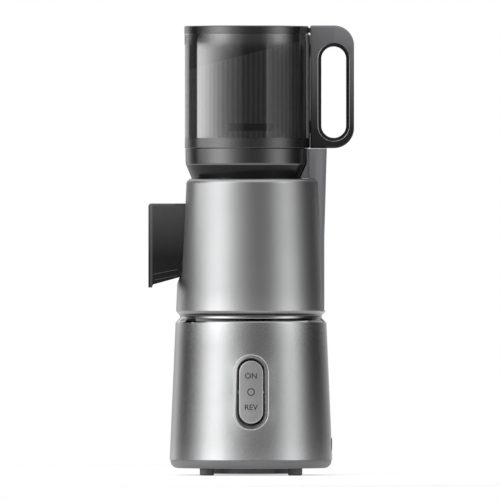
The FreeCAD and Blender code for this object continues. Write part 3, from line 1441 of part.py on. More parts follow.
def lid():
    plate_z = "(lid_top - lid_plate)"
    disc = turned("lid_turned", [
        ("0", plate_z),
        ("lid_plug_r - lid_plug_wall", plate_z),
        ("lid_plug_r - lid_plug_wall", "lid_z - lid_plug_tall"),
        ("lid_plug_r", "lid_z - lid_plug_tall"),
        ("lid_plug_r", "lid_z"),
        ("lid_r", "lid_z"),
        ("lid_r", "lid_top"),
        ("0", "lid_top"),
    ], "axis_shift", rounds=[("lid_r", "lid_top", "lid_round")])
    notch = box("lid_notch", "20", "2 * handle_half + 2", "lid_tall + 4",
                "handle_front_x - lid_notch", "-handle_half - 1", "lid_z - 1")
    tongue = box("lid_tongue", "hinge_x - lid_plug_r + axis_shift + 2", "2 * tongue_half", "tongue_thick",
                 "lid_plug_r - axis_shift - 2", "-tongue_half", "hinge_z - tongue_thick / 2")
    knuckle = cylinder("lid_knuckle", "knuckle_r", "2 * tongue_half", "hinge_x", "-tongue_half", "hinge_z", "y")
    pin_way = cylinder("lid_pin_way", "hinge_pin_r + run_gap", "2 * tongue_half + 2",
                       "hinge_x", "-tongue_half - 1", "hinge_z", "y")
    solid = fuse("lid_solid", cut("lid_disc", disc, notch), tongue, knuckle)
    node(cut("lid_cap", solid, pin_way), "hopper_lid")


motor_base()
switch()
sleeve_and_spine()
drive()
drum()
hopper()
doc.recompute()

faults = [
    f"{thing.Name}: {', '.join(thing.State)}"
    for thing in doc.Objects
    if "Invalid" in thing.State or "Error" in thing.State
]
for made in NODES:
    shape = made.Shape
    if shape.isNull() or not shape.isValid() or not shape.Solids:
        faults.append(f"{made.Label}: no sound solid")
if faults:
    raise RuntimeError("; ".join(faults))

os.makedirs("parts", exist_ok=True)
whole = FreeCAD.BoundBox()
for made in NODES:
    made.Shape.exportStep(f"parts/{made.Label}.step")
    whole.add(made.Shape.BoundBox)
print(f"{len(NODES)} pieces, {whole.XLength:.1f} x {whole.YLength:.1f} x {whole.ZLength:.1f} mm")
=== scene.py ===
"""Looks of a cold press juicer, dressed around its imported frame.

Lengths are in metres. The angles in the tables of light are in degrees, all others in radians.
"""
import json
import math

import bmesh
import bpy
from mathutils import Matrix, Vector
from mathutils.bvhtree import BVHTree


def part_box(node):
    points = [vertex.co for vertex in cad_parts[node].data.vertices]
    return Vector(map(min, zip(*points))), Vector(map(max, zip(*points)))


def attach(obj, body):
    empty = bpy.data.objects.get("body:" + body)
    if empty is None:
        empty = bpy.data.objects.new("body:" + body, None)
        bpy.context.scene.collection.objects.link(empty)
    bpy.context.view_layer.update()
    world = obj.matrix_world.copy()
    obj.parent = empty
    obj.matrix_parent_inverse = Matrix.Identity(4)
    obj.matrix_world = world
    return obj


MM = 0.001

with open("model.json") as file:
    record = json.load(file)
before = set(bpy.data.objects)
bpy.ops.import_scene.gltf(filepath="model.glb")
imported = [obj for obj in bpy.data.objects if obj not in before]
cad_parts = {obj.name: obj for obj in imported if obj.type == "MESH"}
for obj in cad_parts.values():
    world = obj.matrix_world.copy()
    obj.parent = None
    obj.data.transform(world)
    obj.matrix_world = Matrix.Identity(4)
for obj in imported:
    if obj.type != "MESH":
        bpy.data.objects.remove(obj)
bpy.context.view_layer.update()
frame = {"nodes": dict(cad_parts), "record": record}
nodes = frame["nodes"]


# Materials. Object coordinates are the frame's own, so a pattern's scale is in cycles per metre.

EVEN = (1.0, 1.0, 1.0)
COOL = (1.0, 1.0, 1.06)
SILVERY = (0.985, 0.99, 1.0)
GRAPHITE = (1.0, 1.0, 1.04)
PLASTIC_TINT = (0.98, 0.97, 1.04)
PLATE_TINT = (0.99, 0.98, 1.03)
COPPER_TINT = (1.0, 0.52, 0.26)
CREAM_TINT = (1.0, 0.97, 0.88)
BOARD_TINT = (0.35, 1.0, 0.5)

# The spans that coarse and fine noise mostly keep to, and the sharpness from which an edge is rubbed
NOISE_SPAN = (0.3, 0.7)
GRAIN_SPAN = (0.35, 0.65)
EDGE_SPAN = (0.52, 0.60)
WORN_GAIN = 1.8
WORN_LIFT = 0.03
LEAST_ROUGH = 0.01

# The Mix node's colour sockets share their names with others, so they go by number
MIX_FIRST = 6
MIX_SECOND = 7
MIX_RESULT = 2


def grey(level, tint=EVEN):
    """The linear colour that shows as this grey level of 0 to 255, by the sRGB curve, with a tint."""
    share = level / 255
    linear = share / 12.92 if share <= 0.04045 else ((share + 0.055) / 1.055) ** 2.4
    return [linear * part for part in tint]


def scaled(colour, gain, lift=0.0):
    """A colour made lighter or darker, up to full."""
    return [min(part * gain + lift, 1.0) for part in colour]


def add(tree, kind, **settings):
    """A shader node with its settings made: a plain name is a property, a socket's name is in inputs."""
    made = tree.nodes.new(kind)
    for name, setting in settings.pop("inputs", {}).items():
        made.inputs[name].default_value = setting
    for name, setting in settings.items():
        setattr(made, name, setting)
    return made


def feed(tree, source, socket):
    """Fills a socket from another node's output, a plain number or a colour."""
    if isinstance(source, (int, float)):
        socket.default_value = source
    elif isinstance(source, (list, tuple)):
        socket.default_value = (*source, 1.0)
    else:
        tree.links.new(source, socket)


def place_in(tree):
    """The place on the object, in its own coordinates."""
    return add(tree, "ShaderNodeTexCoord").outputs["Object"]


def axes_of(tree, place):
    """The x, y and z of a place."""
    parts = add(tree, "ShaderNodeSeparateXYZ")
    feed(tree, place, parts.inputs["Vector"])
    return [parts.outputs[axis] for axis in "XYZ"]


def maths(tree, operation, *sources):
    """The result of one operation on outputs or plain numbers."""
    made = add(tree, "ShaderNodeMath", operation=operation)
    for number, source in enumerate(sources):
        feed(tree, source, made.inputs[number])
    return made.outputs["Value"]


def rise(tree, source, span, ends=(0.0, 1.0)):
    """Runs from one end to the other while the source crosses a span, and stays level outside it."""
    made = add(tree, "ShaderNodeMapRange")
    sockets = ("Value", "From Min", "From Max", "To Min", "To Max")
    for socket, setting in zip(sockets, (source, *span, *ends)):
        feed(tree, setting, made.inputs[socket])
    return made.outputs["Result"]


def by_height(tree, place, low, high):
    """A factor that rises from 0 to 1 between two heights."""
    return rise(tree, axes_of(tree, place)[2], (low, high))


def noise(tree, coordinates, scale, detail=3.0, roughness=0.5):
    made = add(tree, "ShaderNodeTexNoise", inputs={"Scale": scale, "Detail": detail, "Roughness": roughness})
    feed(tree, coordinates, made.inputs["Vector"])
    return made.outputs["Fac"]


def ramp(tree, factor, *stops):
    """A run of colours through stops of a place and a colour, in rising order.

    A new ramp has two stops already, which become the first and the last.
    """
    made = add(tree, "ShaderNodeValToRGB")
    spots = made.color_ramp.elements
    for number, (place, colour) in enumerate((stops[0], stops[-1], *stops[1:-1])):
        spot = spots[number] if number < 2 else spots.new(place)
        spot.position = place
        spot.color = (*colour, 1.0)
    feed(tree, factor, made.inputs["Fac"])
    return made.outputs["Color"]


def mix(tree, factor, first, second, blend="MIX"):
    made = add(tree, "ShaderNodeMix", data_type="RGBA", blend_type=blend)
    for socket, source in (("Factor", factor), (MIX_FIRST, first), (MIX_SECOND, second)):
        feed(tree, source, made.inputs[socket])
    return made.outputs[MIX_RESULT]


def new_material(name):
    material = bpy.data.materials.new(name)
    material.use_nodes = True
    return material, material.node_tree


def finish_of(name, colour, contrast=0.06, patch=25.0, rough=0.4, swing=0.04, grain=1500.0,
              relief=0.004 * MM, bump=0.25, stretch=EVEN, edge=0.0, bands=None, painted_top_light=None, tweak=None,
              **sockets):
    """A material with drifting colour, uneven roughness, fine grain and slightly rubbed edges.

    Bands are a direction, a scale and how bright the colour is between them. A painted top light is a low
    height, a high height and how many times lighter the colour is painted at the high one, as painted light
    from above.
    """
    material, tree = new_material(name)
    shader = tree.nodes["Principled BSDF"]
    place = place_in(tree)
    spread = add(tree, "ShaderNodeMapping", inputs={"Scale": stretch})
    feed(tree, place, spread.inputs["Vector"])
    fine = noise(tree, spread.outputs["Vector"], grain, detail=4.0, roughness=0.6)
    shades = (scaled(colour, 1 - contrast), scaled(colour, 1 + contrast))
    painted = ramp(tree, noise(tree, place, patch), *zip(NOISE_SPAN, shades))
    painted = mix(tree, contrast, painted, ramp(tree, fine, *zip(GRAIN_SPAN, shades)))
    if bands:
        direction, scale, shade = bands
        wave = add(tree, "ShaderNodeTexWave", wave_type="BANDS", bands_direction=direction,
                   wave_profile="SIN", inputs={"Scale": scale, "Distortion": 0.4, "Detail": 1.0})
        feed(tree, place, wave.inputs["Vector"])
        fine = wave.outputs["Fac"]
        painted = mix(tree, fine, painted, scaled(colour, shade))
    # Painted light: the colour is painted lighter towards the top, as if lit from above
    if painted_top_light:
        low, high, shade = painted_top_light
        painted = mix(tree, by_height(tree, place, low, high), painted, scaled(colour, shade))
    if tweak:
        painted = tweak(tree, place, painted, shader)
    if edge:
        pointed = add(tree, "ShaderNodeNewGeometry").outputs["Pointiness"]
        worn = ramp(tree, pointed, *zip(EDGE_SPAN, ([0.0] * 3, [edge] * 3)))
        painted = mix(tree, worn, painted, scaled(colour, WORN_GAIN, WORN_LIFT))
    feed(tree, painted, shader.inputs["Base Color"])
    rough_ends = (max(rough - swing, LEAST_ROUGH), rough + swing)
    feed(tree, rise(tree, fine, NOISE_SPAN, rough_ends), shader.inputs["Roughness"])
    raised = add(tree, "ShaderNodeBump", inputs={"Strength": bump, "Distance": relief})
    feed(tree, fine, raised.inputs["Height"])
    feed(tree, raised.outputs["Normal"], shader.inputs["Normal"])
    for socket, setting in sockets.items():
        shader.inputs[socket.replace("_", " ").title().replace("Ior", "IOR")].default_value = setting
    return material


# A finish for each material slot, apart from slots whose nodes all have their own

finishes = {
    "silver_shell": finish_of("satin_silver", grey(176, SILVERY), contrast=0.03, rough=0.34, swing=0.03,
                              grain=2600.0, relief=0.003 * MM, bump=0.3, edge=0.25, metallic=1.0),
    "chrome": finish_of("bright_chrome", grey(222), contrast=0.02, rough=0.06, swing=0.02, grain=700.0,
                        relief=0.001 * MM, bump=0.1, metallic=1.0),
    "grey_plastic": finish_of("moulded_grey", grey(128, PLASTIC_TINT), contrast=0.05, rough=0.46,
                              swing=0.06, grain=1900.0, relief=0.012 * MM, bump=0.35, edge=0.25),
    "dark_plastic": finish_of("moulded_black", grey(38), contrast=0.08, rough=0.34, swing=0.06,
                              grain=1700.0, relief=0.010 * MM, bump=0.3, edge=0.3),
    "gloss_black": finish_of("polished_black", grey(18, COOL), contrast=0.05, rough=0.07, swing=0.02,
                             grain=240.0, relief=0.003 * MM, bump=0.12, edge=0.15, specular_ior_level=1.0,
                             ior=1.6),
    "smoked_clear": finish_of("smoked_clear", grey(20, COOL), contrast=0.06, rough=0.05, swing=0.015,
                              grain=180.0, relief=0.002 * MM, bump=0.1, alpha=0.7, specular_ior_level=1.0),
    "switch_silver": finish_of("switch_silver", grey(180), contrast=0.04, rough=0.36, swing=0.04,
                               grain=2400.0, relief=0.004 * MM, bump=0.3, edge=0.2, metallic=0.7),
    "foot_rubber": finish_of("foot_rubber", grey(112), contrast=0.12, rough=0.78, swing=0.08, grain=1300.0,
                             relief=0.02 * MM, bump=0.5, edge=0.4),
    "seal_silicone": finish_of("seal_silicone", grey(120), contrast=0.06, rough=0.5, swing=0.06,
                               grain=900.0, relief=0.01 * MM, bump=0.25, subsurface_weight=0.1),
    "steel": finish_of("machined_steel", grey(178), contrast=0.05, rough=0.28, swing=0.06, grain=900.0,
                       relief=0.004 * MM, bump=0.25, stretch=(1.0, 1.0, 14.0), edge=0.2, metallic=1.0),
    "copper": finish_of("enamelled_copper", grey(190, COPPER_TINT), contrast=0.12, rough=0.3, swing=0.08,
                        relief=0.05 * MM, bump=0.6, bands=("Z", 260.0, 0.45), metallic=0.8),
    "cast_alloy": finish_of("cast_alloy", grey(160), contrast=0.1, patch=90.0, rough=0.5, swing=0.1,
                            grain=700.0, relief=0.03 * MM, bump=0.5, edge=0.4, metallic=0.9),
    "gear_plastic": finish_of("moulded_cream", grey(208, CREAM_TINT), contrast=0.05, rough=0.4, swing=0.06,
                              grain=1200.0, relief=0.008 * MM, bump=0.3, edge=0.2),
    "board": finish_of("circuit_board", grey(96, BOARD_TINT), contrast=0.15, patch=300.0, rough=0.32,
                       relief=0.02 * MM, bump=0.4, bands=("X", 180.0, 1.7)),
}


# The drum's axis, and what shows in and through the smoked tube

DRUM_AXIS = -4.0 * MM
TUBE_MIDDLE_R = 61.0 * MM
OUTER_SMOKE = 0.62
GRAZING_SMOKE = 0.98
GRAZING_POWER = 3.0
INNER_SMOKE = 0.03
STRIPES = 72
STRIPE_SPAN = (-0.2, 0.8)
STRIPE_COLOUR = grey(118)
# The painted shadow of the cutting blade, seen through the smoked tube: its top, bottom, half width, blurs
# and colour
BLADE_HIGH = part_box("auger_blade")[1][2]
BLADE_SHADOW_LOW = BLADE_HIGH - 7.0 * MM
BLADE_SHADOW_HALF = 23.0 * MM
BLADE_SHADOW_SIDE_BLUR = 0.5 * MM
BLADE_SHADOW_END_BLUR = 0.3 * MM
BLADE_SHADOW_COLOUR = grey(20)


def clear_inside(tree, place, painted, shader):
    """Smoke in the outer face only, so that a wall isn't counted twice, and denser at a grazing angle."""
    flat = add(tree, "ShaderNodeVectorMath", operation="MULTIPLY_ADD",
               inputs={1: (1.0, 1.0, 0.0), 2: (-DRUM_AXIS, 0.0, 0.0)})
    feed(tree, place, flat.inputs[0])
    radius = add(tree, "ShaderNodeVectorMath", operation="LENGTH")
    feed(tree, flat.outputs["Vector"], radius.inputs[0])
    outer = maths(tree, "GREATER_THAN", radius.outputs["Value"], TUBE_MIDDLE_R)
    facing = add(tree, "ShaderNodeLayerWeight").outputs["Facing"]
    grazing = maths(tree, "POWER", facing, GRAZING_POWER)
    smoke = rise(tree, grazing, (0.0, 1.0), (OUTER_SMOKE, GRAZING_SMOKE))
    feed(tree, rise(tree, outer, (0.0, 1.0), (INNER_SMOKE, smoke)), shader.inputs["Alpha"])
    return painted


def ribbed(tree, place, painted, shader):
    """Pale upright stripes for the chute's inner ribs, and a dark band of painted shadow, level with the top
    of the cutting blade.
    """
    x, y = axes_of(tree, place)[:2]
    turn = maths(tree, "ARCTAN2", maths(tree, "SUBTRACT", x, DRUM_AXIS), y)
    wave = maths(tree, "SINE", maths(tree, "MULTIPLY", turn, STRIPES))
    ribs = mix(tree, rise(tree, wave, STRIPE_SPAN), painted, STRIPE_COLOUR)
    # Painted shadow of the cutting blade, across the front and back of the liner
    bar = rise(tree, maths(tree, "ABSOLUTE", x), (BLADE_SHADOW_HALF, BLADE_SHADOW_HALF - BLADE_SHADOW_SIDE_BLUR))
    for end, blur in ((BLADE_SHADOW_LOW, -BLADE_SHADOW_END_BLUR), (BLADE_HIGH, BLADE_SHADOW_END_BLUR)):
        bar = maths(tree, "MULTIPLY", bar, by_height(tree, place, end + blur, end))
    return mix(tree, bar, ribs, BLADE_SHADOW_COLOUR)


# The collar, whose upright band has the hopper foot's coat, and the painted shade and highlights of the
# chrome ring

COLLAR_BAND_LOW = 310.0 * MM
BAND_BLUR = 0.4 * MM
COAT_COLOUR = grey(104)

# Painted shade and highlights: brightness by share of the ring's height, from its foot
RING_PAINTED_LIGHT = ((0.0, 0.75), (0.14, 0.6), (0.22, 0.25), (0.30, 0.3), (0.38, 0.65), (0.50, 0.65), (0.56, 0.2),
              (0.66, 0.07), (0.72, 0.12), (0.8, 0.3), (1.0, 0.38))


def metal_above(tree, place, painted, shader):
    """The collar's upright band has a metallic coat; the bevel under it stays plain black."""
    band = by_height(tree, place, COLLAR_BAND_LOW - BAND_BLUR, COLLAR_BAND_LOW)
    feed(tree, band, shader.inputs["Metallic"])
    return mix(tree, band, painted, COAT_COLOUR)


def ring_painted_light(tree, place, painted, shader):
    """Painted shade and highlights round the ring: two dark lines of painted shade at its grooves, with a
    painted highlight between them.
    """
    low, high = (corner[2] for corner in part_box("chrome_ring"))
    stops = [(spot, [level] * 3) for spot, level in RING_PAINTED_LIGHT]
    return mix(tree, 1.0, painted, ramp(tree, by_height(tree, place, low, high), *stops), blend="MULTIPLY")


# The hood and the handle carry painted light: their colour is painted lighter upwards, as if lit from above

HOOD_LOW, HOOD_HIGH = (corner[2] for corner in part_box("spout_hood"))
HOOD_PAINTED_LIGHT = (HOOD_LOW + 30.0 * MM, HOOD_HIGH, 26.0)
HANDLE_LOW, HANDLE_HIGH = (corner[2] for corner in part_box("handle_body"))
HANDLE_PAINTED_LIGHT = (HANDLE_LOW + 15.0 * MM, HANDLE_HIGH, 34.0)

# The finishes of nodes that differ from their slot's

own_finishes = {
    "hopper_tube": finish_of("smoked_tube", grey(16, COOL), contrast=0.06, rough=0.05, swing=0.015,
                             grain=180.0, relief=0.002 * MM, bump=0.1, tweak=clear_inside,
                             specular_ior_level=1.0, ior=2.1),
    "feed_liner": finish_of("ribbed_liner", grey(92, COOL), contrast=0.06, rough=0.4, swing=0.04,
                            grain=400.0, relief=0.003 * MM, bump=0.15, tweak=ribbed,
                            specular_ior_level=0.3),
    "hopper_base": finish_of("satin_black_metal", COAT_COLOUR, contrast=0.05, rough=0.26, swing=0.03,
                             grain=1800.0, relief=0.003 * MM, bump=0.2, metallic=1.0),
    "base_shell": finish_of("satin_silver_base", grey(172, SILVERY), contrast=0.03, rough=0.27, swing=0.03,
                            grain=2600.0, relief=0.003 * MM, bump=0.3, edge=0.25, metallic=1.0),
    "drum_collar": finish_of("collar_black", grey(12), contrast=0.05, rough=0.24, swing=0.03, grain=1800.0,
                             relief=0.003 * MM, bump=0.2, tweak=metal_above, specular_ior_level=0.25),
    # The ring's colour carries painted shade and highlights by height
    "chrome_ring": finish_of("ring_chrome", grey(222), contrast=0.02, rough=0.1, swing=0.02, grain=700.0,
                             relief=0.001 * MM, bump=0.1, tweak=ring_painted_light, metallic=1.0),
    # The hood's and the handle body's colours are painted lighter upwards: painted light from above
    "spout_hood": finish_of("hood_black", grey(10), contrast=0.06, rough=0.26, swing=0.04, grain=1200.0,
                            relief=0.004 * MM, bump=0.2, edge=0.1, specular_ior_level=0.4, painted_top_light=HOOD_PAINTED_LIGHT),
    "handle_body": finish_of("satin_graphite_body", grey(20, GRAPHITE), contrast=0.06, rough=0.36,
                             swing=0.05, grain=2200.0, relief=0.006 * MM, bump=0.25, edge=0.2,
                             specular_ior_level=0.4, painted_top_light=HANDLE_PAINTED_LIGHT),
    "handle_liner": finish_of("grip_black", grey(24), contrast=0.06, rough=0.5, swing=0.05, grain=1800.0,
                              relief=0.006 * MM, bump=0.25, specular_ior_level=0.3),
    "base_plate": finish_of("base_grey", grey(134, PLATE_TINT), contrast=0.05, rough=0.42, swing=0.05,
                            grain=1900.0, relief=0.010 * MM, bump=0.35, edge=0.25),
    "strainer_screen": finish_of("etched_screen", grey(150), contrast=0.08, rough=0.3, swing=0.06,
                                 relief=0.08 * MM, bump=0.7, bands=("DIAGONAL", 420.0, 0.25), metallic=1.0),
}

for entry in frame["record"]["subparts"]:
    label = entry["node"]
    mesh = nodes[label].data
    mesh.materials.clear()
    mesh.materials.append(own_finishes.get(label) or finishes[entry["material_slot"]])


# Pieces. Shapes are built from closed rings of corners, and rays start in front of every face they look for.

RAY_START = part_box("rocker")[0][1] - 50.0 * MM


def turns(sides):
    """The angles of a full turn, in equal steps."""
    return [2 * math.pi * number / sides for number in range(sides)]


def bridge(shape, ring, other):
    """Four-sided faces from one ring to another of as many corners."""
    for spot in range(len(ring)):
        after = (spot + 1) % len(ring)
        shape.faces.new([ring[spot], ring[after], other[after], other[spot]])


def lofted(rings, closed=False):
    """A new shape through rings in turn, that runs on to the first again or has a flat face at each end."""
    shape = bmesh.new()
    rings = [[shape.verts.new(corner) for corner in ring] for ring in rings]
    others = rings[1:] + rings[:1] if closed else rings[1:]
    for ring, other in zip(rings, others):
        bridge(shape, ring, other)
    if not closed:
        shape.faces.new(rings[0])
        shape.faces.new(rings[-1])
    return shape


def new_piece(name, shape, material):
    mesh = bpy.data.meshes.new(name)
    shape.to_mesh(mesh)
    shape.free()
    mesh.materials.append(material)
    piece = bpy.data.objects.new(name, mesh)
    bpy.context.collection.objects.link(piece)
    return piece


def finished_piece(name, shape, material, body):
    bmesh.ops.recalc_face_normals(shape, faces=shape.faces[:])
    piece = new_piece(name, shape, material)
    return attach(piece, body)


def faces_of(label):
    """A CAD node's faces, for front_hit to search."""
    mesh = nodes[label].data
    return BVHTree.FromPolygons([corner.co for corner in mesh.vertices],
                                [list(face.vertices) for face in mesh.polygons])


def front_hit(faces, x, z):
    """Where the faces are first met from the front, at this x and z."""
    return faces.ray_cast(Vector((x, RAY_START, z)), Vector((0.0, 1.0, 0.0)))[0]


# The rocker's printed marks, laid on its curved face

MARK_LIFT = 0.03 * MM
MARK_STEP = 0.5 * MM
MARK_TALL = 5.4 * MM
STROKE_SWELL = 0.09 * MM
CURVE_STEPS = 6
ON_HEIGHT = 99.3 * MM
OFF_HEIGHT = 83.5 * MM
REVERSE_HEIGHT = 68.0 * MM
OFF_SIDES = 48
OFF_INNER_R = 2.8 * MM
OFF_OUTER_R = 3.8 * MM

# The height of a capital as a share of the letters' size
CAP_SHARE = 0.69

ink = finish_of("mark_ink", grey(34), contrast=0.1, rough=0.55, swing=0.05, grain=3000.0, relief=0.002 * MM)
rocker_faces = faces_of("rocker")


def lay_on_rocker(shape, name, centre_z):
    """Drops a flat x, z shape onto the rocker's face from the front, and inks it."""
    bmesh.ops.triangulate(shape, faces=shape.faces[:])
    for corner in shape.verts:
        x = corner.co.x
        z = corner.co.z + centre_z
        corner.co = (x, front_hit(rocker_faces, x, z).y - MARK_LIFT, z)
    piece = new_piece(name, shape, ink)
    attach(piece, "rocker")


def word_mark(name, word, centre_z):
    """Flat letters, cut into narrow strips so that they bend."""
    letters = bpy.data.curves.new(name, "FONT")
    letters.body = word
    letters.align_x = "CENTER"
    letters.align_y = "CENTER"
    letters.size = MARK_TALL / CAP_SHARE
    letters.resolution_u = CURVE_STEPS
    letters.offset = STROKE_SWELL
    text = bpy.data.objects.new(name + "_text", letters)
    shape = bmesh.new()
    shape.from_mesh(text.to_mesh())
    bpy.data.objects.remove(text)
    for corner in shape.verts:
        corner.co = (corner.co.x, 0.0, corner.co.y)
    reach = max(abs(corner.co.x) for corner in shape.verts)
    strips = math.ceil(reach / MARK_STEP)
    for number in range(-strips, strips + 1):
        parts = shape.verts[:] + shape.edges[:] + shape.faces[:]
        bmesh.ops.bisect_plane(shape, geom=parts, plane_co=(number * MARK_STEP, 0, 0), plane_no=(1, 0, 0))
    lay_on_rocker(shape, name, centre_z)


def ring_mark(name, centre_z):
    shape = bmesh.new()
    rims = []
    for radius in (OFF_OUTER_R, OFF_INNER_R):
        places = [(radius * math.cos(angle), 0.0, radius * math.sin(angle)) for angle in turns(OFF_SIDES)]
        rims.append([shape.verts.new(place) for place in places])
    bridge(shape, *rims)
    lay_on_rocker(shape, name, centre_z)


word_mark("mark_on", "ON", ON_HEIGHT)
ring_mark("mark_off", OFF_HEIGHT)
word_mark("mark_reverse", "REV", REVERSE_HEIGHT)


# A dark sheet of painted shade in the feed tube above the chute's top edge, which slants down from the
# handle's side; it stands where the chute's inside is only in shade

SHADE_SHEET_OUTER_R = 59.1 * MM
SHADE_SHEET_INNER_R = 58.1 * MM
SHADE_SHEET_SIDES = 120
SHADE_SHEET_GAP = 0.3 * MM
SHADE_SHEET_RISE = 0.8 * MM
CHUTE_FALL = 31.9 * MM


def chute_shade_sheet():
    """A thin tube of painted shade whose lower rim follows the chute's slanted edge and whose upper rim is
    level.
    """
    low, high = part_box("feed_liner")
    fall = CHUTE_FALL / (high[0] - low[0])
    top = high[2] + SHADE_SHEET_RISE
    rings = []
    outer = ((SHADE_SHEET_OUTER_R, False), (SHADE_SHEET_OUTER_R, True))
    inner = ((SHADE_SHEET_INNER_R, True), (SHADE_SHEET_INNER_R, False))
    for radius, upper in outer + inner:
        ring = []
        for angle in turns(SHADE_SHEET_SIDES):
            x = DRUM_AXIS + radius * math.cos(angle)
            rim = min(high[2] - fall * (high[0] - x) + SHADE_SHEET_GAP, top - SHADE_SHEET_GAP)
            ring.append((x, radius * math.sin(angle), top if upper else rim))
        rings.append(ring)
    shape = lofted(rings, closed=True)
    bmesh.ops.recalc_face_normals(shape, faces=shape.faces[:])
    # Its black is painted shade
    black = finish_of("painted_shade_black", grey(24), contrast=0.06, rough=0.4, swing=0.04, grain=900.0)
    piece = new_piece("chute_shade_sheet", shape, black)
    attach(piece, "hopper")


# A pad between the tube and the handle, and two rails low on each of the hood's cheeks

PAD_HALF_WIDTH = 11.0 * MM
PAD_STEPS = 8
PAD_TUBE_GAP = 0.15 * MM
PAD_SINK = 0.75 * MM
PAD_FOOT_GAP = 0.5 * MM
PAD_TOP_GAP = 1.0 * MM
RAIL_TALL = 0.8 * MM
RAIL_PROUD = 0.4 * MM
RAIL_SLOPE = 0.25

# Both ends of each rail's lower edge, as x and z in millimetres
RAILS = (((-97.5, 200.3), (-73.0, 205.3)), ((-96.0, 194.6), (-73.5, 199.2)))


def steps_across(half, steps):
    """Even steps from minus a half width to the half width."""
    return [half * number / steps for number in range(-steps, steps + 1)]


def handle_pad():
    """An upright strip that fills the slit between the round tube and the handle's flat root."""
    tube_low, tube_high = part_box("hopper_tube")
    outer_r = (tube_high[0] - tube_low[0]) / 2 + PAD_TUBE_GAP
    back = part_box("handle_body")[0][0] + PAD_SINK
    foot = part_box("handle_body")[0][2] + PAD_FOOT_GAP
    top = tube_high[2] - PAD_TOP_GAP
    rings = []
    for y in steps_across(PAD_HALF_WIDTH, PAD_STEPS):
        near = DRUM_AXIS + math.sqrt(outer_r ** 2 - y ** 2)
        rings.append([(near, y, foot), (near, y, top), (back, y, top), (back, y, foot)])
    finished_piece("handle_pad", lofted(rings), own_finishes["handle_liner"], "hopper")


def hood_rails():
    """Thin raised bars, lighter than the hood, that follow its slanted lower edge on both cheeks."""
    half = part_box("spout_hood")[1][1]
    profile = ((half, 0.0), (half, RAIL_TALL), (half + RAIL_PROUD, RAIL_TALL * (1 - RAIL_SLOPE)),
               (half + RAIL_PROUD, RAIL_TALL * RAIL_SLOPE))
    finish = finish_of("rail_grey", grey(78), contrast=0.08, rough=0.34, swing=0.05, grain=1500.0)
    for side, word in ((-1, "front"), (1, "rear")):
        for number, ends in enumerate(RAILS, 1):
            rings = [[(x * MM, side * y, z * MM + up) for y, up in profile] for x, z in ends]
            finished_piece(f"hood_rail_{word}_{number}", lofted(rings), finish, "drum")


# A web on the spine's inner face, which fills the corner beside the collar and under its bevel

WEB_HALF_WIDTH = 18.0 * MM
WEB_STEPS = 12
WEB_GAP = 0.5 * MM
WEB_BACK_GAP = 0.1 * MM
WEB_FOOT_GAP = 0.3 * MM
WEB_TOP_GAP = 0.5 * MM
WEB_LEAST = 0.05 * MM
BEVEL_FOOT_R = 55.5 * MM
BEVEL_TALL = 14.5 * MM


def spine_web():
    """A block whose back is flat on the spine and whose front follows the round collar and its bevel."""
    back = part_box("rear_spine")[0][0] - WEB_BACK_GAP
    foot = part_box("body_sleeve")[1][2] + WEB_FOOT_GAP
    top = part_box("rear_spine")[1][2] - WEB_TOP_GAP
    band_r = (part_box("drum_collar")[1][1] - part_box("drum_collar")[0][1]) / 2
    rounds = ((BEVEL_FOOT_R, foot), (band_r, foot + BEVEL_TALL), (band_r, top))
    rings = []
    for y in steps_across(WEB_HALF_WIDTH, WEB_STEPS):
        fronts = [(math.sqrt((radius + WEB_GAP) ** 2 - y ** 2) + DRUM_AXIS, z) for radius, z in rounds]
        corners = [(min(x, back - WEB_LEAST), z) for x, z in fronts] + [(back, top), (back, foot)]
        rings.append([(x, y, z) for x, z in corners])
    finished_piece("spine_web", lofted(rings), finishes["grey_plastic"], "base")


# A fine bead round the switch's dish, laid on the coned shell

BEAD_R = 0.45 * MM
BEAD_HALF_WIDTH = 17.4 * MM
BEAD_HALF_HEIGHT = 37.4 * MM
BEAD_STEPS = 24
BEAD_SIDES = 8


def switch_bead():
    """A thin round cord on a path with straight sides and half round ends."""
    low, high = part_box("switch_bezel")
    middle = (low[2] + high[2]) / 2
    shell = faces_of("base_shell")
    straight = BEAD_HALF_HEIGHT - BEAD_HALF_WIDTH
    path = []
    for end in (1, -1):
        for number in range(BEAD_STEPS + 1):
            angle = math.pi * number / BEAD_STEPS
            x = end * BEAD_HALF_WIDTH * math.cos(angle)
            z = middle + end * (straight + BEAD_HALF_WIDTH * math.sin(angle))
            path.append(front_hit(shell, x, z))
    out = Vector((0.0, -1.0, 0.0))
    rings = []
    for number, spot in enumerate(path):
        along = (path[(number + 1) % len(path)] - path[number - 1]).normalized()
        across = along.cross(out).normalized()
        rings.append([spot + BEAD_R * (math.cos(angle) * across + math.sin(angle) * out)
                      for angle in turns(BEAD_SIDES)])
    piece = finished_piece("switch_bead", lofted(rings, closed=True), finishes["chrome"], "base")
    for face in piece.data.polygons:
        face.use_smooth = True


chute_shade_sheet()
handle_pad()
spine_web()
hood_rails()
switch_bead()


# The stage: a pale floor, a white surround, and a round wall of softboxes and dark panels

FLOOR_RADIUS = 0.98
FLOOR_SHADES = (grey(213), grey(217))
FLOOR_PATCH = 3.0
FLOOR_ROUGH = 0.8
FLOOR_GLOW = 0.52
WALL_RADIUS = 1.0
WALL_HEIGHT = 1.0
WALL_SIDES = 96
WALL_PEAK = 6.0

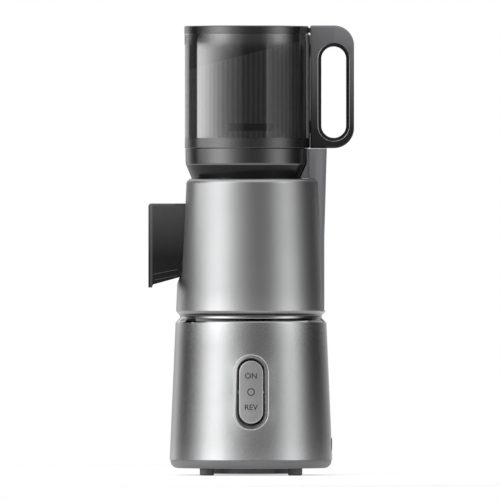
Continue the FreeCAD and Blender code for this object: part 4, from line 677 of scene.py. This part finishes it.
# Brightness of the wall by compass angle: 0 faces the camera's side, positive turns towards the handle
BODY_LIGHT = (
    (-180, 0.3), (-158, 0.6), (-140, 1.0), (-118, 0.12), (-103, 0.05), (-90, 0.3), (-78, 0.9),
    (-68, 1.8), (-56, 2.5), (-46, 2.5), (-38, 2.0), (-29, 1.25), (-21, 0.8), (-12, 0.5), (-4, 0.3),
    (6, 0.22), (14, 0.22), (24, 0.22), (34, 0.44), (44, 0.9), (54, 1.5), (64, 1.5), (74, 0.9),
    (84, 0.3), (95, 0.06), (108, 0.04), (120, 0.05), (137, 0.3), (155, 0.6), (180, 0.8),
)

# The same for the part of the wall that is level with the hopper
HOPPER_LIGHT = (
    (-180, 1.6), (-134, 0.9), (-130, 0.1), (-104, 0.1), (-101, 3.6), (-86, 3.2), (-76, 2.6),
    (-67, 2.0), (-59, 1.5), (-50, 1.05), (-42, 0.7), (-27, 0.36), (-12, 0.18), (-5, 0.05),
    (34, 0.06), (36, 0.5), (39, 0.5), (41, 0.36), (66, 0.26), (83, 0.18), (90, 0.07), (120, 0.03),
    (123, 0.15), (180, 0.12),
)
HOPPER_BAND = (338.0 * MM, 440.5 * MM)


def wall_material():
    """A glow that changes with the angle round the stage, and again in the hopper's band."""
    material, tree = new_material("studio_wall")
    tree.nodes.clear()
    x, y, z = axes_of(tree, place_in(tree))
    turn = maths(tree, "ARCTAN2", x, maths(tree, "MULTIPLY", y, -1.0))
    share = rise(tree, turn, (-math.pi, math.pi))
    shades = []
    for lights in (BODY_LIGHT, HOPPER_LIGHT):
        stops = [((angle + 180) / 360, [light / WALL_PEAK] * 3) for angle, light in lights]
        shades.append(ramp(tree, share, *stops))
    above = [maths(tree, "GREATER_THAN", z, height) for height in HOPPER_BAND]
    inside = maths(tree, "SUBTRACT", *above)
    glow = add(tree, "ShaderNodeEmission", inputs={"Strength": WALL_PEAK})
    feed(tree, mix(tree, inside, *shades), glow.inputs["Color"])
    feed(tree, glow.outputs["Emission"], add(tree, "ShaderNodeOutputMaterial").inputs["Surface"])
    return material


def floor_material():
    """A pale floor, white where it is seen directly, in a mirror or through glass, that keeps its shadow."""
    material, tree = new_material("studio_floor")
    shader = tree.nodes["Principled BSDF"]
    drift = noise(tree, place_in(tree), FLOOR_PATCH)
    feed(tree, ramp(tree, drift, *zip(NOISE_SPAN, FLOOR_SHADES)), shader.inputs["Base Color"])
    feed(tree, FLOOR_ROUGH, shader.inputs["Roughness"])
    feed(tree, EVEN, shader.inputs["Emission Color"])
    rays = add(tree, "ShaderNodeLightPath").outputs
    seen = rays["Is Camera Ray"]
    for kind in ("Is Glossy Ray", "Is Transmission Ray"):
        seen = maths(tree, "MAXIMUM", seen, rays[kind])
    feed(tree, maths(tree, "MULTIPLY", seen, FLOOR_GLOW), shader.inputs["Emission Strength"])
    return material


def stage_piece(name, shape, material):
    piece = new_piece(name, shape, material)
    return piece


def build_stage():
    disc = bmesh.new()
    bmesh.ops.create_circle(disc, cap_ends=True, radius=FLOOR_RADIUS, segments=WALL_SIDES)
    stage_piece("floor", disc, floor_material())
    ring = bmesh.new()
    bmesh.ops.create_cone(ring, cap_ends=False, radius1=WALL_RADIUS, radius2=WALL_RADIUS, depth=WALL_HEIGHT,
                          segments=WALL_SIDES)
    bmesh.ops.translate(ring, verts=ring.verts[:], vec=(0.0, 0.0, WALL_HEIGHT / 2))
    wall = stage_piece("softbox_wall", ring, wall_material())
    wall.visible_camera = False
    world = bpy.data.worlds.new("white_surround")
    world.use_nodes = True
    background = world.node_tree.nodes["Background"]
    background.inputs["Color"].default_value = (*EVEN, 1.0)
    background.inputs["Strength"].default_value = 1.0
    bpy.context.scene.world = world


# A long lens far away sees the juicer side on, one millimetre to a pixel of the 500 pixel frame

CAMERA_AWAY = 20.0
CLIP_AWAY = 100.0
FRAME_WIDTH = 0.5
CAMERA_X = -0.001
CAMERA_Z = 0.225
SENSOR = 36.0


def build_camera():
    lens = bpy.data.cameras.new("camera")
    lens.sensor_width = SENSOR
    lens.lens = SENSOR * CAMERA_AWAY / FRAME_WIDTH
    lens.clip_end = CLIP_AWAY
    camera = bpy.data.objects.new("camera", lens)
    camera.location = (CAMERA_X, -CAMERA_AWAY, CAMERA_Z)
    camera.rotation_euler = (math.pi / 2, 0.0, 0.0)
    bpy.context.collection.objects.link(camera)
    bpy.context.scene.camera = camera


build_stage()
build_camera()
bpy.context.scene.view_settings.view_transform = "Standard"
